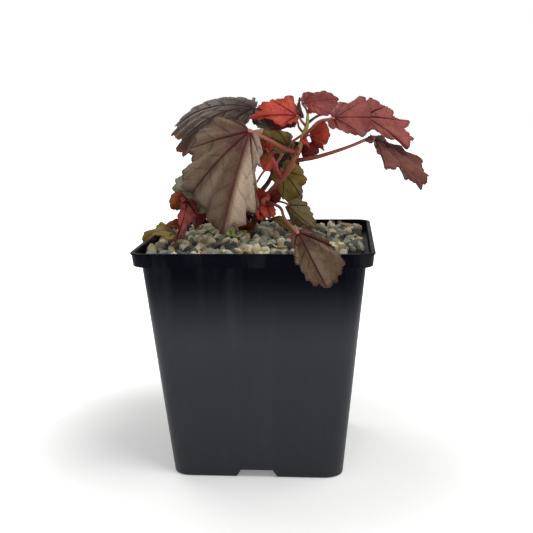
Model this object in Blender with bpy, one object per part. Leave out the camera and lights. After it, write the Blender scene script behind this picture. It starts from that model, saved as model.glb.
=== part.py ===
"""A young red-leaved hibiscus in a square nursery pot, topped with grit.

The plant stands near the middle of the pot and leans to the right and the front. One stem rises from
the grit to a knobbly joint, where it forks into the leading stem and a darker branch behind it. Every
leaf is a thin blade of its own outline, bent and folded as it hangs, on a leaf stalk of its own.

Lengths below are millimetres. The pot stands on z = 0 with its middle at x = y = 0, and its front
faces -Y. TO_METRES turns them into Blender's metres.
"""

import math

import bmesh
import bpy
from mathutils import Vector

TO_METRES = 0.001
CLEARANCE = 0.35
STALK_END_ROOM = 0.25

POT_HEIGHT = 105.0
POT_HALF_WIDTH = 52.5
BASE_HALF_WIDTH = 38.8
SHOULDER_HALF_WIDTH = 48.7
RIM_BAND_HEIGHT = 6.1
RIM_LIP_HEIGHT = 0.9
RIM_LIP_REACH = 0.5
BODY_CORNER = 8.6
RIM_CORNER = 7.0
POT_WALL = 1.3
FLOOR_THICKNESS = 1.6
FOOT_CHAMFER = 0.7
CORNER_STEPS = 6

NOTCH_WIDTH = 20.0
NOTCH_TOP_WIDTH = 14.4
NOTCH_HEIGHT = 3.4
NOTCH_DEPTH = 12.0
NOTCH_ROOF = 1.3
DRAIN_LENGTH = 8.0
DRAIN_WIDTH = 3.0

MIX_TOP = 101.0
MIX_BUMP = 1.4
MIX_RINGS = 5
MIX_LEVEL_RADIUS = 5.0

LEAF_THICKNESS = 0.6
LEAF_SIDE_STEPS = 8
LEAF_RINGS = 3

STEM_SIDES = 10
STALK_SIDES = 6

# Tip, notch and lobe angles of a leaf outline, in degrees from the midrib, shared by both sides.
LOBE_ANGLES = (0, 16, 34, 50, 66, 100, 138)

# Distance from the stalk to the margin at those angles, over the length of the midrib.
LEAF_KINDS = {
    "hand": (1.0, 0.86, 0.88, 0.68, 0.62, 0.42, 0.16),
    "tucked hand": (1.0, 0.92, 0.94, 0.46, 0.40, 0.24, 0.14),
    "three": (1.0, 0.84, 0.76, 0.66, 0.56, 0.36, 0.14),
    "oval": (1.0, 0.88, 0.72, 0.56, 0.44, 0.26, 0.12),
}

STEM_ROUTE = ((-7, 17, 100.65), (-6, 16, 106), (-3.8, 13.8, 111.5), (-1.9, 12.3, 115))
STEM_RADII = (2.5, 1.75, 1.65, 1.6)
KNOT_CENTRE = (1.2, 10.4, 119.6)
KNOT_RADII = (3.9, 3.7, 5.3)
KNOT_LEAN = 24
KNOT_ROOM = 0.65
LEADER_ROUTE = (
    (4.4, 9.1, 124.6),
    (7, 8, 127.5),
    (10.5, 6, 132),
    (14, 4, 136.5),
    (16.5, 2, 141),
    (18.5, 1, 145.5),
    (20, 0, 150.5),
    (22, -1, 156),
    (22.5, -2, 161.5),
)
LEADER_RADII = (1.5, 1.4, 1.4, 1.4, 1.35, 1.2, 1.1, 0.9, 0.6)
BRANCH_ROUTE = ((-0.2, 12.8, 124.4), (2, 17, 127.5), (4, 21, 131.5), (4, 24, 136.5), (2.5, 24, 143))
BRANCH_RADII = (1.15, 1.1, 1.05, 0.95, 0.8)

RED_SHOOT_FOOT = (9.8, 6.3, 131)
RED_SHOOT_ROUTE = ((6.6, 1.8, 138.5), (4.4, 1, 142.5), (3, 0.5, 146))
RED_SHOOT_RADII = (1.3, 1.1, 0.9, 0.5)
LEFT_SHOOT_ROUTE = ((-8, 3.5, 119.5), (-17, -6, 121), (-25, -13, 122.5), (-31, -18.5, 123.6))
LEFT_SHOOT_RADII = (0.9, 0.7)

MAROON = (0.10, 0.025, 0.02)
RED = (0.30, 0.04, 0.03)
BARK = (0.24, 0.085, 0.05)
COLOURS = {
    "black plastic": (0.012, 0.014, 0.02),
    "grit": (0.36, 0.35, 0.31),
    "bronze leaf": (0.14, 0.10, 0.075),
    "purple leaf": (0.085, 0.05, 0.05),
    "scarlet leaf": (0.50, 0.05, 0.04),
    "dark red leaf": (0.16, 0.02, 0.015),
    "rose leaf": (0.30, 0.09, 0.085),
    "olive leaf": (0.07, 0.06, 0.02),
    "tan leaf": (0.19, 0.15, 0.07),
    "cream leaf": (0.38, 0.30, 0.21),
    "orange leaf": (0.26, 0.09, 0.03),
    "green shoot": (0.20, 0.26, 0.05),
    "cut wood": (0.36, 0.27, 0.16),
}

# heading: where the upper face looks, in degrees from the front towards the right; rise: how far up
# it looks; arch: the midrib's whole turn; fold and curl: each half's slope and its further turn, left
# then right of the midrib with the tip up, up positive; breadth: the same two halves over the kind's
LEAVES = {
    "leaf_front_large": {
        "kind": ("tucked hand", "hand"), "base": (-2, -28, 155), "tip": (-15, -40, 111),
        "heading": 10, "rise": -10, "arch": 50, "fold": (-38, -25), "curl": (-15, -15),
        "breadth": (1.0, 1.0),
        "colour": "bronze leaf",
    },
    "leaf_upper_left": {
        "kind": "hand", "base": (-2.5, 6, 164), "tip": (-37, -3, 146.5), "heading": -25, "rise": 55,
        "arch": 65, "fold": (0, -5), "curl": (-10, -15), "breadth": (1.1, 1.15), "heel": 0.5,
        "colour": "purple leaf",
    },
    "leaf_scarlet": {
        "kind": "three", "base": (17.5, -4, 160.5), "tip": (-3, -8, 160), "heading": -5, "rise": 40,
        "arch": 20, "fold": (5, 5), "curl": (0, 0), "breadth": (0.65, 0.9), "heel": 0.7,
        "colour": "scarlet leaf",
    },
    "leaf_scarlet_under": {
        "kind": "oval", "base": (16.5, 4, 157.5), "tip": (1, 3, 156), "heading": 0, "rise": -30,
        "arch": 40, "fold": (-20, -10), "curl": (-10, -10), "breadth": (0.75, 0.85),
        "colour": "dark red leaf",
    },
    "leaf_top_rose": {
        "kind": "oval", "base": (20.5, -2, 166.4), "tip": (36, 7, 168), "heading": 10, "rise": 60,
        "arch": -5, "fold": (-5, 0), "curl": (-10, -15), "twist": -20, "breadth": (1.05, 1.05),
        "heel": 0.3, "colour": "rose leaf",
    },
    "leaf_right_rose_inner": {
        "kind": "hand", "base": (34.5, -12, 159.5), "tip": (51, -14.5, 159.5), "heading": 20,
        "rise": 40, "arch": 15, "fold": (0, 5), "curl": (-15, 0), "twist": -20,
        "breadth": (1.15, 1.15), "heel": 0.7, "colour": "rose leaf",
    },
    "leaf_right_rose_outer": {
        "kind": "hand", "base": (48, -5, 160), "tip": (69, -6.5, 145), "heading": 5, "rise": 50,
        "arch": 10, "fold": (5, 20), "curl": (-10, -5), "breadth": (1.1, 0.85), "heel": 0.7,
        "colour": "rose leaf",
    },
    "leaf_behind_stem": {
        "kind": "three", "base": (9.5, 15.5, 134), "tip": (18.5, 20, 118.5), "heading": 20,
        "rise": 25, "arch": 35, "fold": (0, -5), "curl": (0, -5), "breadth": (1.1, 1.05),
        "colour": "olive leaf",
    },
    "leaf_olive_upper": {
        "kind": "three", "base": (13, 6.5, 146), "tip": (2.5, 17, 156.5), "heading": 30, "rise": 35,
        "arch": 35, "fold": (-5, -15), "curl": (-10, -20), "breadth": (1.0, 1.0),
        "colour": "olive leaf",
    },
    "leaf_right_drooping": {
        "kind": "oval", "base": (52, -8, 150), "tip": (74, -12, 127.5), "heading": 60, "rise": 25,
        "arch": 20, "fold": (-10, 10), "curl": (-5, -10), "twist": -25, "breadth": (1.05, 0.8),
        "colour": "bronze leaf",
    },
    "leaf_tip_orange": {
        "kind": "three", "base": (23.5, 6, 151), "tip": (31.5, 1, 148), "heading": -5, "rise": -10,
        "arch": 25, "fold": (-15, -15), "curl": (-5, -15), "breadth": (1.5, 1.05),
        "colour": "orange leaf",
    },
    "leaf_crimson_small": {
        "kind": "three", "base": (19.3, 2.9, 143.4), "tip": (25.5, 1.5, 148.5), "heading": -20, "rise": 20,
        "arch": 15, "fold": (-10, 0), "curl": (-10, 0), "breadth": (0.9, 1.1), "heel": 0.5,
        "colour": "dark red leaf",
    },
    "leaf_over_rim": {
        "kind": "oval", "base": (20, -54, 114.5), "tip": (32, -66, 94), "heading": -5, "rise": 20,
        "arch": 45, "fold": (-14, -16), "curl": (-10, -10), "breadth": (0.85, 0.8),
        "colour": "bronze leaf",
    },
    "leaf_olive_lower": {
        "kind": "oval", "base": (13, 0, 119), "tip": (26.5, -7, 108.5), "heading": -20, "rise": 0,
        "arch": 55, "fold": (-25, -30), "curl": (-15, 0), "breadth": (0.95, 0.85),
        "colour": "tan leaf",
    },
    "leaf_green_low": {
        "kind": "oval", "base": (3.5, 14, 110.5), "tip": (16, 12.5, 105), "heading": 5, "rise": 75,
        "arch": 25, "fold": (5, 10), "curl": (10, 10), "twist": -30, "breadth": (0.7, 0.7),
        "colour": "olive leaf",
    },
    "leaf_pale_left": {
        "kind": "three", "base": (-24.5, -12, 126), "tip": (-40.5, -11, 128.5), "heading": 0,
        "rise": -20, "arch": 20, "fold": (-10, -10), "curl": (-15, -10), "breadth": (1.0, 1.1),
        "heel": 0.7, "colour": "cream leaf",
    },
    "leaf_left_rim": {
        "kind": "oval", "base": (-36, -24, 108.5), "tip": (-50.5, -33, 106.8), "heading": -30,
        "rise": 70, "arch": 90, "fold": (-5, 10), "curl": (-10, 0), "breadth": (0.7, 0.65),
        "colour": "orange leaf",
    },
    "leaf_crumpled_orange": {
        "kind": "three", "base": (-32.8, -19.3, 125.5), "tip": (-38.9, -21, 120.4), "heading": 20,
        "rise": -10, "arch": 10, "fold": (-10, 5), "curl": (-10, -10), "breadth": (1.1, 1.1),
        "heel": 0.3,
        "colour": "orange leaf",
    },
    "leaf_crumpled_pink": {
        "kind": "oval", "base": (-31.5, -20, 123.4), "tip": (-34.5, -36, 107.5), "heading": 30,
        "rise": 0, "arch": 15, "fold": (28, 28), "curl": (10, 10), "breadth": (0.6, 0.55),
        "heel": 0.3, "colour": "rose leaf",
    },
    "leaf_crumpled_dark": {
        "kind": "oval", "base": (-27, -14.3, 120.9), "tip": (-28, -19, 110.5), "heading": -20,
        "rise": 35, "arch": -10, "fold": (5, -10), "curl": (-10, -10), "breadth": (0.9, 0.9),
        "heel": 0.4,
        "colour": "dark red leaf",
    },
    "leaf_crumpled_brown": {
        "kind": "three", "base": (-33.9, -25.8, 114.5), "tip": (-40.5, -27.4, 113.2), "heading": -5,
        "rise": 0, "arch": -10, "fold": (10, 15), "curl": (0, 10), "breadth": (0.7, 0.7),
        "heel": 0.5,
        "colour": "orange leaf",
    },
    "leaf_sprout_orange": {
        "kind": "oval", "base": (-8.6, 12.1, 105.9), "tip": (-8.5, 6.5, 114.5), "heading": 0,
        "rise": 20, "arch": 10, "fold": (20, 20), "curl": (0, 0), "breadth": (0.8, 0.8),
        "heel": 0.5,
        "colour": "orange leaf",
    },
    "leaf_sprout_violet": {
        "kind": "oval", "base": (-7.2, 13.7, 110.3), "tip": (-11.5, 7, 118.5), "heading": 0,
        "rise": 20, "arch": 20, "fold": (10, 10), "curl": (0, 0), "breadth": (0.5, 0.5),
        "heel": 0.3,
        "colour": "purple leaf",
    },
    "leaf_back_left": {
        "kind": "hand", "base": (-6, 34, 151), "tip": (-26, 46, 131), "heading": -150, "rise": 40,
        "arch": 45, "fold": (-10, -10), "curl": (-15, -15), "breadth": (1.0, 1.0), "heel": 0.7,
        "colour": "bronze leaf",
    },
    "leaf_back_right": {
        "kind": "hand", "base": (38, 24, 160), "tip": (56, 35, 151.5), "heading": 140, "rise": 60,
        "arch": 35, "fold": (-10, -10), "curl": (-15, -15), "breadth": (1.0, 1.0), "heel": 0.5,
        "colour": "rose leaf",
    },
    "leaf_back_middle": {
        "kind": "hand", "base": (12, 38, 146), "tip": (15, 56, 125), "heading": 175, "rise": 35,
        "arch": 45, "fold": (-10, -10), "curl": (-15, -15), "breadth": (0.95, 0.95), "heel": 0.7,
        "colour": "purple leaf",
    },
    "leaf_back_low": {
        "kind": "three", "base": (-18, 24, 127), "tip": (-32, 30, 113), "heading": -130, "rise": 40,
        "arch": 40, "fold": (-10, -10), "curl": (-10, -10), "breadth": (1.0, 1.0), "heel": 0.7,
        "colour": "olive leaf",
    },
}

# A stalk runs from its carrier's surface through these points to its leaf, which it meets from
# the blade's underside or end-on. "knot" and the routes named here are the carriers.
STALKS = {
    "stalk_front_large": {
        "from": "leader", "at": (17.4, 1.5, 143.2), "via": ((11, -5, 146), (5, -14, 150.5)),
        "leaf": "leaf_front_large", "under": 1.2, "radii": (1.05, 0.85),
    },
    "stalk_upper_left": {
        "from": "branch end", "via": ((0.8, 21, 150), (0.2, 14, 153.5), (-1.4, 7, 159)),
        "leaf": "leaf_upper_left", "under": 0.6, "radii": (0.65, 0.5),
    },
    "stalk_scarlet": {
        "from": "leader", "at": (21.8, -0.9, 155.4), "via": ((19.6, -2.6, 158.2),),
        "leaf": "leaf_scarlet", "under": 0, "radii": (0.6, 0.5),
    },
    "stalk_scarlet_under": {
        "from": "leader", "at": (20.6, -0.3, 152.4), "via": ((18.2, 2.6, 155),),
        "leaf": "leaf_scarlet_under", "under": 0, "radii": (0.55, 0.45),
    },
    "stalk_top_rose": {
        "from": "leader end", "via": ((21.6, -2.2, 163.8),),
        "leaf": "leaf_top_rose", "under": 0, "radii": (0.5, 0.45),
    },
    "stalk_right_rose_inner": {
        "from": "leader", "at": (19.7, 0.2, 149.4), "via": ((23.5, -4, 154), (28, -8.5, 158.3)),
        "leaf": "leaf_right_rose_inner", "under": 0, "radii": (0.65, 0.5),
    },
    "stalk_right_rose_outer": {
        "from": "leader", "at": (22.1, -1.2, 157), "via": ((28, 5, 160.5), (38, 3.5, 161.5)),
        "leaf": "leaf_right_rose_outer", "under": 0, "radii": (0.6, 0.5),
    },
    "stalk_behind_stem": {
        "from": "leader", "at": (9.6, 6.5, 130.8), "via": (),
        "leaf": "leaf_behind_stem", "under": 0, "radii": (0.7, 0.6),
    },
    "stalk_olive_upper": {
        "from": "leader", "at": (16, 2.4, 140.2), "via": ((14.4, 5, 143.5),),
        "leaf": "leaf_olive_upper", "under": 0, "radii": (0.6, 0.5),
    },
    "stalk_right_drooping": {
        "from": "leader", "at": (15.8, 2.6, 139.6), "via": ((26, -2, 141.5), (40, -5.5, 146)),
        "leaf": "leaf_right_drooping", "under": 0, "radii": (0.95, 0.75),
    },
    "stalk_tip_orange": {
        "from": "leader", "at": (19.9, 0.1, 150), "via": (),
        "leaf": "leaf_tip_orange", "under": 0, "radii": (0.5, 0.45),
    },
    "stalk_over_rim": {
        "from": "knot", "via": ((9.5, -7, 119), (12.5, -24, 116.8), (16, -39, 115.5)),
        "leaf": "leaf_over_rim", "under": 0, "radii": (0.75, 0.6),
    },
    "stalk_olive_lower": {
        "from": "knot", "via": ((9, 4.5, 120.2),),
        "leaf": "leaf_olive_lower", "under": 0, "radii": (0.6, 0.5),
    },
    "stalk_green_low": {
        "from": "stem", "at": (-2.6, 12.9, 113.7), "via": ((1.2, 14, 112.4),),
        "leaf": "leaf_green_low", "under": 0, "radii": (0.45, 0.4),
    },
    "stalk_pale_left": {
        "from": "red shoot", "at": (6, 1.8, 139.7), "via": ((1, -1, 134), (-4, -4, 127), (-13, -8, 124)),
        "leaf": "leaf_pale_left", "under": 0, "radii": (0.5, 0.45),
    },
    "stalk_left_rim": {
        "from": "left shoot", "at": (-29, -16.7, 123), "via": ((-31.4, -21.8, 118), (-32.5, -25, 112.5), (-32.6, -24, 107.3)),
        "leaf": "leaf_left_rim", "under": 0, "radii": (0.5, 0.45),
    },
    "stalk_back_left": {
        "from": "branch", "at": (3.6, 24, 138.2), "via": ((0, 30, 144),),
        "leaf": "leaf_back_left", "under": 0, "radii": (0.7, 0.6),
    },
    "stalk_back_right": {
        "from": "branch", "at": (3.2, 24, 141), "via": ((12, 27, 146), (26, 26, 155)),
        "leaf": "leaf_back_right", "under": 0, "radii": (0.7, 0.6),
    },
    "stalk_back_middle": {
        "from": "branch", "at": (4, 22.6, 134.2), "via": ((8, 30, 140),),
        "leaf": "leaf_back_middle", "under": 0, "radii": (0.7, 0.6),
    },
    "stalk_back_low": {
        "from": "knot", "via": ((-5, 16, 123.5), (-12, 21, 127)),
        "leaf": "leaf_back_low", "under": 0, "radii": (0.6, 0.5),
    },
}


def clear_scene():
    for thing in list(bpy.data.objects):
        bpy.data.objects.remove(thing, do_unlink=True)


def material(name, colour, roughness=0.6):
    made = bpy.data.materials.get(name)
    if made is None:
        made = bpy.data.materials.new(name)
        made.use_nodes = True
        shader = made.node_tree.nodes["Principled BSDF"]
        shader.inputs["Base Color"].default_value = (*colour, 1)
        shader.inputs["Roughness"].default_value = roughness
        shader.inputs["Metallic"].default_value = 0
    return made


def mesh_object(name, points, faces, look, hidden=False):
    """One named object from points in millimetres; bmesh turns its faces outwards."""
    mesh = bpy.data.meshes.new(name)
    mesh.from_pydata([Vector(point) * TO_METRES for point in points], [], faces)
    shape = bmesh.new()
    shape.from_mesh(mesh)
    bmesh.ops.recalc_face_normals(shape, faces=shape.faces)
    shape.to_mesh(mesh)
    shape.free()
    mesh.materials.append(look)
    thing = bpy.data.objects.new(name, mesh)
    bpy.context.scene.collection.objects.link(thing)
    if hidden:
        thing.hide_render = True
        thing.display_type = "WIRE"
    return thing


def smooth_route(points, count):
    """Points at even steps along a smooth curve through the given ones."""
    points = [Vector(point) for point in points]
    ends = [points[0] * 2 - points[1], *points, points[-1] * 2 - points[-2]]
    fine = []
    for a, b, c, d in zip(ends, ends[1:], ends[2:], ends[3:]):
        for step in range(12):
            t = step / 12
            fine.append(
                0.5 * (2 * b + (c - a) * t + (2 * a - 5 * b + 4 * c - d) * t * t + (3 * b - a - 3 * c + d) * t**3)
            )
    fine.append(points[-1])
    run = [0.0]
    for before, after in zip(fine, fine[1:]):
        run.append(run[-1] + (after - before).length)
    route = []
    place = 0
    for step in range(count):
        goal = run[-1] * step / (count - 1)
        while place < len(run) - 2 and run[place + 1] < goal:
            place += 1
        span = run[place + 1] - run[place]
        route.append(fine[place].lerp(fine[place + 1], (goal - run[place]) / span))
    return route


def mixed(values, share):
    """The value at a share, 0 to 1, of the way along a list of evenly spread values."""
    place = share * (len(values) - 1)
    low = min(int(place), len(values) - 2)
    return values[low] + (values[low + 1] - values[low]) * (place - low)


def tapered_rod(name, route, radii, sides, look, start_way=None, end_way=None):
    """A closed round rod along a route, its flat ends square to the ways given or to the route."""
    points = []
    across = None
    for index, middle in enumerate(route):
        ahead = route[min(index + 1, len(route) - 1)] - route[max(index - 1, 0)]
        if index == 0 and start_way:
            ahead = start_way.copy()
        if index == len(route) - 1 and end_way:
            ahead = end_way.copy()
        ahead.normalize()
        if across is None:
            across = ahead.orthogonal().normalized()
        across = (across - ahead * across.dot(ahead)).normalized()
        second = ahead.cross(across)
        radius = mixed(radii, index / (len(route) - 1))
        for side in range(sides):
            turn = math.tau * side / sides
            points.append(middle + (across * math.cos(turn) + second * math.sin(turn)) * radius)
    faces = [tuple(range(sides))]
    for ring in range(len(route) - 1):
        first = ring * sides
        for side in range(sides):
            beside = (side + 1) % sides
            faces.append((first + side, first + beside, first + sides + beside, first + sides + side))
    faces.append(tuple(range(len(points) - sides, len(points))))
    return mesh_object(name, points, faces, look)


def rounded_square(half_width, corner, height):
    """The points of one level of the pot, round its four corners."""
    points = []
    for quarter in range(4):
        start = math.pi / 2 * quarter
        turn = start + math.pi / 4
        reach = (half_width - corner) * math.sqrt(2)
        middle = (reach * math.cos(turn), reach * math.sin(turn))
        for step in range(CORNER_STEPS + 1):
            angle = start + math.pi / 2 * step / CORNER_STEPS
            points.append(
                (middle[0] + corner * math.cos(angle), middle[1] + corner * math.sin(angle), height)
            )
    return points


def stacked(name, levels, look, hidden=False):
    """A closed solid through levels of equal point counts, capped at both ends."""
    count = len(levels[0])
    points = [point for level in levels for point in level]
    faces = [tuple(range(count)), tuple(range(len(points) - count, len(points)))]
    for level in range(len(levels) - 1):
        first = level * count
        for index in range(count):
            beside = (index + 1) % count
            faces.append((first + index, first + beside, first + count + beside, first + count + index))
    return mesh_object(name, points, faces, look, hidden)


def slope_half_width(height):
    """Half the pot body's width at a height."""
    share = height / (POT_HEIGHT - RIM_BAND_HEIGHT)
    return BASE_HALF_WIDTH + (SHOULDER_HALF_WIDTH - BASE_HALF_WIDTH) * share


def pot_levels():
    """The pot's section as levels, up the outside and down the inside."""
    band_bottom = POT_HEIGHT - RIM_BAND_HEIGHT
    band_half = POT_HALF_WIDTH - RIM_LIP_REACH
    ledge = band_bottom + POT_WALL
    outside = (
        (BASE_HALF_WIDTH - FOOT_CHAMFER, BODY_CORNER - FOOT_CHAMFER, 0),
        (BASE_HALF_WIDTH, BODY_CORNER, FOOT_CHAMFER),
        (SHOULDER_HALF_WIDTH, BODY_CORNER, band_bottom),
        (band_half - 0.5, RIM_CORNER, band_bottom),
        (band_half, RIM_CORNER, POT_HEIGHT - RIM_LIP_HEIGHT),
        (POT_HALF_WIDTH, RIM_CORNER, POT_HEIGHT - RIM_LIP_HEIGHT),
        (POT_HALF_WIDTH, RIM_CORNER, POT_HEIGHT - 0.3),
        (POT_HALF_WIDTH - 0.3, RIM_CORNER, POT_HEIGHT),
    )
    inside = (
        (band_half - POT_WALL, RIM_CORNER - 1, POT_HEIGHT),
        (band_half - POT_WALL - 0.3, RIM_CORNER - 1, ledge),
        (SHOULDER_HALF_WIDTH - POT_WALL, BODY_CORNER - 1, ledge - 0.3),
        (slope_half_width(FLOOR_THICKNESS) - POT_WALL, BODY_CORNER - 1, FLOOR_THICKNESS),
    )
    return [rounded_square(*level) for level in outside + inside]


def notch_block(name, grow, top, reach, look):
    """A wedge under the middle of the front wall, as the notch itself or, grown, as its hood."""
    low = NOTCH_WIDTH / 2 + grow
    high = NOTCH_TOP_WIDTH / 2 + grow
    front = -(BASE_HALF_WIDTH + 3) if grow == 0 else -(BASE_HALF_WIDTH - 0.6)
    bottom = -1 if grow == 0 else 0.4
    back = front + reach
    section = ((-low, bottom), (low, bottom), (high, top), (-high, top))
    points = [(x, y, z) for y in (front, back) for x, z in section]
    faces = [(0, 1, 2, 3), (4, 5, 6, 7)]
    faces += [(i, (i + 1) % 4, 4 + (i + 1) % 4, 4 + i) for i in range(4)]
    return mesh_object(name, points, faces, look, hidden=True)


def drain_block(name, look):
    """A slot through the roof of a notch."""
    middle = -(BASE_HALF_WIDTH - NOTCH_DEPTH / 2)
    points = [
        (x * DRAIN_LENGTH / 2, middle + y * DRAIN_WIDTH / 2, z)
        for z in (NOTCH_HEIGHT - 1, NOTCH_HEIGHT + NOTCH_ROOF + 1)
        for x, y in ((-1, -1), (1, -1), (1, 1), (-1, 1))
    ]
    faces = [(0, 1, 2, 3), (4, 5, 6, 7)]
    faces += [(i, (i + 1) % 4, 4 + (i + 1) % 4, 4 + i) for i in range(4)]
    return mesh_object(name, points, faces, look, hidden=True)


def boolean(thing, tool, operation):
    step = thing.modifiers.new(tool.name, "BOOLEAN")
    step.operation = operation
    step.object = tool
    step.solver = "EXACT"


def make_pot():
    plastic = material("black moulded plastic", COLOURS["black plastic"], 0.35)
    pot = stacked("pot", pot_levels(), plastic)
    hood_top = NOTCH_HEIGHT + NOTCH_ROOF
    for side in range(4):
        turn = math.pi / 2 * side
        hood = notch_block(f"notch_hood_{side}", NOTCH_ROOF, hood_top, NOTCH_DEPTH, plastic)
        notch = notch_block(f"notch_{side}", 0, NOTCH_HEIGHT, NOTCH_DEPTH + 1, plastic)
        drain = drain_block(f"drain_{side}", plastic)
        for tool, operation in ((hood, "UNION"), (notch, "DIFFERENCE"), (drain, "DIFFERENCE")):
            tool.rotation_euler.z = turn
            boolean(pot, tool, operation)


def bump(x, y):
    """A gentle seedless unevenness, -1 to 1."""
    return 0.5 * math.sin(0.31 * x + 1.7) * math.cos(0.27 * y) + 0.5 * math.sin(0.17 * x - 0.29 * y)


def mix_height(x, y):
    """The level of the growing mix, flat where the stem stands."""
    foot = Vector(STEM_ROUTE[0]).xy
    away = (Vector((x, y)) - foot).length - MIX_LEVEL_RADIUS
    share = min(max(away / MIX_LEVEL_RADIUS, 0), 1)
    return MIX_TOP - CLEARANCE - 0.35 + share * MIX_BUMP * 0.5 * (bump(x, y) - 0.4)


def make_growing_mix():
    bottom = NOTCH_HEIGHT + NOTCH_ROOF + CLEARANCE
    low = slope_half_width(bottom) - POT_WALL - CLEARANCE
    high = SHOULDER_HALF_WIDTH - POT_WALL - CLEARANCE
    shoulder = POT_HEIGHT - RIM_BAND_HEIGHT
    levels = [
        rounded_square(low, BODY_CORNER - 1, bottom),
        rounded_square(high, BODY_CORNER - 1, shoulder),
    ]
    foot = Vector(STEM_ROUTE[0]).xy
    for ring in range(MIX_RINGS):
        share = ring / MIX_RINGS
        level = []
        for x, y, _ in rounded_square(high, BODY_CORNER - 1, shoulder):
            x += (foot.x - x) * share
            y += (foot.y - y) * share
            level.append((x, y, mix_height(x, y)))
        levels.append(level)
    stacked("growing_mix", levels, material("grit on growing mix", COLOURS["grit"], 0.9))


def turned_knot(direction, room=0.0):
    """The point of the knobbly joint's surface in a direction, moved out by some room."""
    lean = math.radians(KNOT_LEAN)
    along = Vector((math.sin(lean), -0.25, math.cos(lean))).normalized()
    across = along.orthogonal().normalized()
    third = along.cross(across)
    way = Vector(direction).normalized()
    parts = (way.dot(across), way.dot(third), way.dot(along))
    radius = 1 / math.sqrt(sum((part / size) ** 2 for part, size in zip(parts, KNOT_RADII)))
    radius *= 1 + 0.05 * math.sin(5 * math.atan2(parts[1], parts[0]) + 4 * parts[2])
    return Vector(KNOT_CENTRE) + way * (radius + room)


def make_knot():
    rings, sides = 8, 12
    points = [turned_knot((0, 0, -1))]
    for ring in range(1, rings):
        slope = math.pi * ring / rings
        for side in range(sides):
            turn = math.tau * side / sides
            flat = math.sin(slope)
            points.append(
                turned_knot((flat * math.cos(turn), flat * math.sin(turn), -math.cos(slope)))
            )
    points.append(turned_knot((0, 0, 1)))
    faces = []
    for side in range(sides):
        beside = (side + 1) % sides
        faces.append((0, 1 + side, 1 + beside))
        for ring in range(rings - 2):
            first = 1 + ring * sides
            faces.append((first + side, first + beside, first + sides + beside, first + sides + side))
        last = 1 + (rings - 2) * sides
        faces.append((last + side, last + beside, len(points) - 1))
    mesh_object("stem_knot", points, faces, material("red shoot", RED))


def from_knot(route):
    """The route with its end at the knot moved to the knot's surface."""
    first = Vector(route[0]) - Vector(KNOT_CENTRE)
    return [turned_knot(first, KNOT_ROOM), *[Vector(point) for point in route[1:]]]


def nearest_on(route, point):
    """The nearest point of a route, the way the route runs there and its share of the length."""
    best = None
    for index, (before, after) in enumerate(zip(route, route[1:])):
        span = after - before
        share = min(max((point - before).dot(span) / span.length_squared, 0), 1)
        place = before + span * share
        if best is None or (point - place).length < best[0]:
            whole = (index + share) / (len(route) - 1)
            best = ((point - place).length, place, span.normalized(), whole)
    return best[1:]


def outline(kind, breadth, heel):
    """The margin from the left heel through the tip to the right heel, in midrib lengths."""
    kinds = (kind, kind) if isinstance(kind, str) else kind
    sides = []
    for half, share, way in ((kinds[0], breadth[0], -1), (kinds[1], breadth[1], 1)):
        radii = [radius * (share if index else 1) for index, radius in enumerate(LEAF_KINDS[half])]
        radii[-1] *= heel
        radii[-2] *= (1 + heel) / 2
        corners = [
            Vector((way * radius * math.sin(math.radians(angle)), radius * math.cos(math.radians(angle)), 0))
            for angle, radius in zip(LOBE_ANGLES, radii)
        ]
        sides.append(smooth_route(corners, LEAF_SIDE_STEPS + 1))
    return [point.xy for point in reversed(sides[0])] + [point.xy for point in sides[1][1:]]


def blade_frame(leaf):
    """The base, the run towards the tip, the way the upper face looks, the right and the length."""
    base, tip = Vector(leaf["base"]), Vector(leaf["tip"])
    heading, rise = math.radians(leaf["heading"]), math.radians(leaf["rise"])
    looks = Vector(
        (math.sin(heading) * math.cos(rise), -math.cos(heading) * math.cos(rise), math.sin(rise))
    )
    run = (tip - base).normalized()
    up = (looks - run * looks.dot(run)).normalized()
    return base, run, up, run.cross(up), (tip - base).length


def bent(leaf, flat):
    """Where a point of the flat outline comes to lie on the arched, folded and curled blade."""
    base, run, up, right, chord = blade_frame(leaf)
    arch = math.radians(leaf["arch"])
    radius = chord / (2 * math.sin(arch / 2))
    length = radius * arch
    x, y = flat[0] * length, flat[1] * length
    along = min(max(y, 0), 1.3 * length)
    turn = along / radius - arch / 2
    middle = base + run * radius * (math.sin(turn) + math.sin(arch / 2))
    middle += up * radius * (math.cos(turn) - math.cos(arch / 2))
    ahead = run * math.cos(turn) - up * math.sin(turn)
    rises = run * math.sin(turn) + up * math.cos(turn)
    middle += ahead * (y - along)
    twist = math.radians(leaf.get("twist", 0)) * y / length
    aside = right * math.cos(twist) + rises * math.sin(twist)
    rises = rises * math.cos(twist) - right * math.sin(twist)
    side = 1 if x > 0 else 0
    slope = math.radians(leaf["fold"][side])
    curl = math.radians(leaf["curl"][side]) / (0.5 * length)
    reach = abs(x)
    if abs(curl) < 1e-9:
        out, lift = reach * math.cos(slope), reach * math.sin(slope)
    else:
        out = (math.sin(slope + curl * reach) - math.sin(slope)) / curl
        lift = (math.cos(slope) - math.cos(slope + curl * reach)) / curl
    return middle + aside * math.copysign(out, x) + rises * lift


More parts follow.
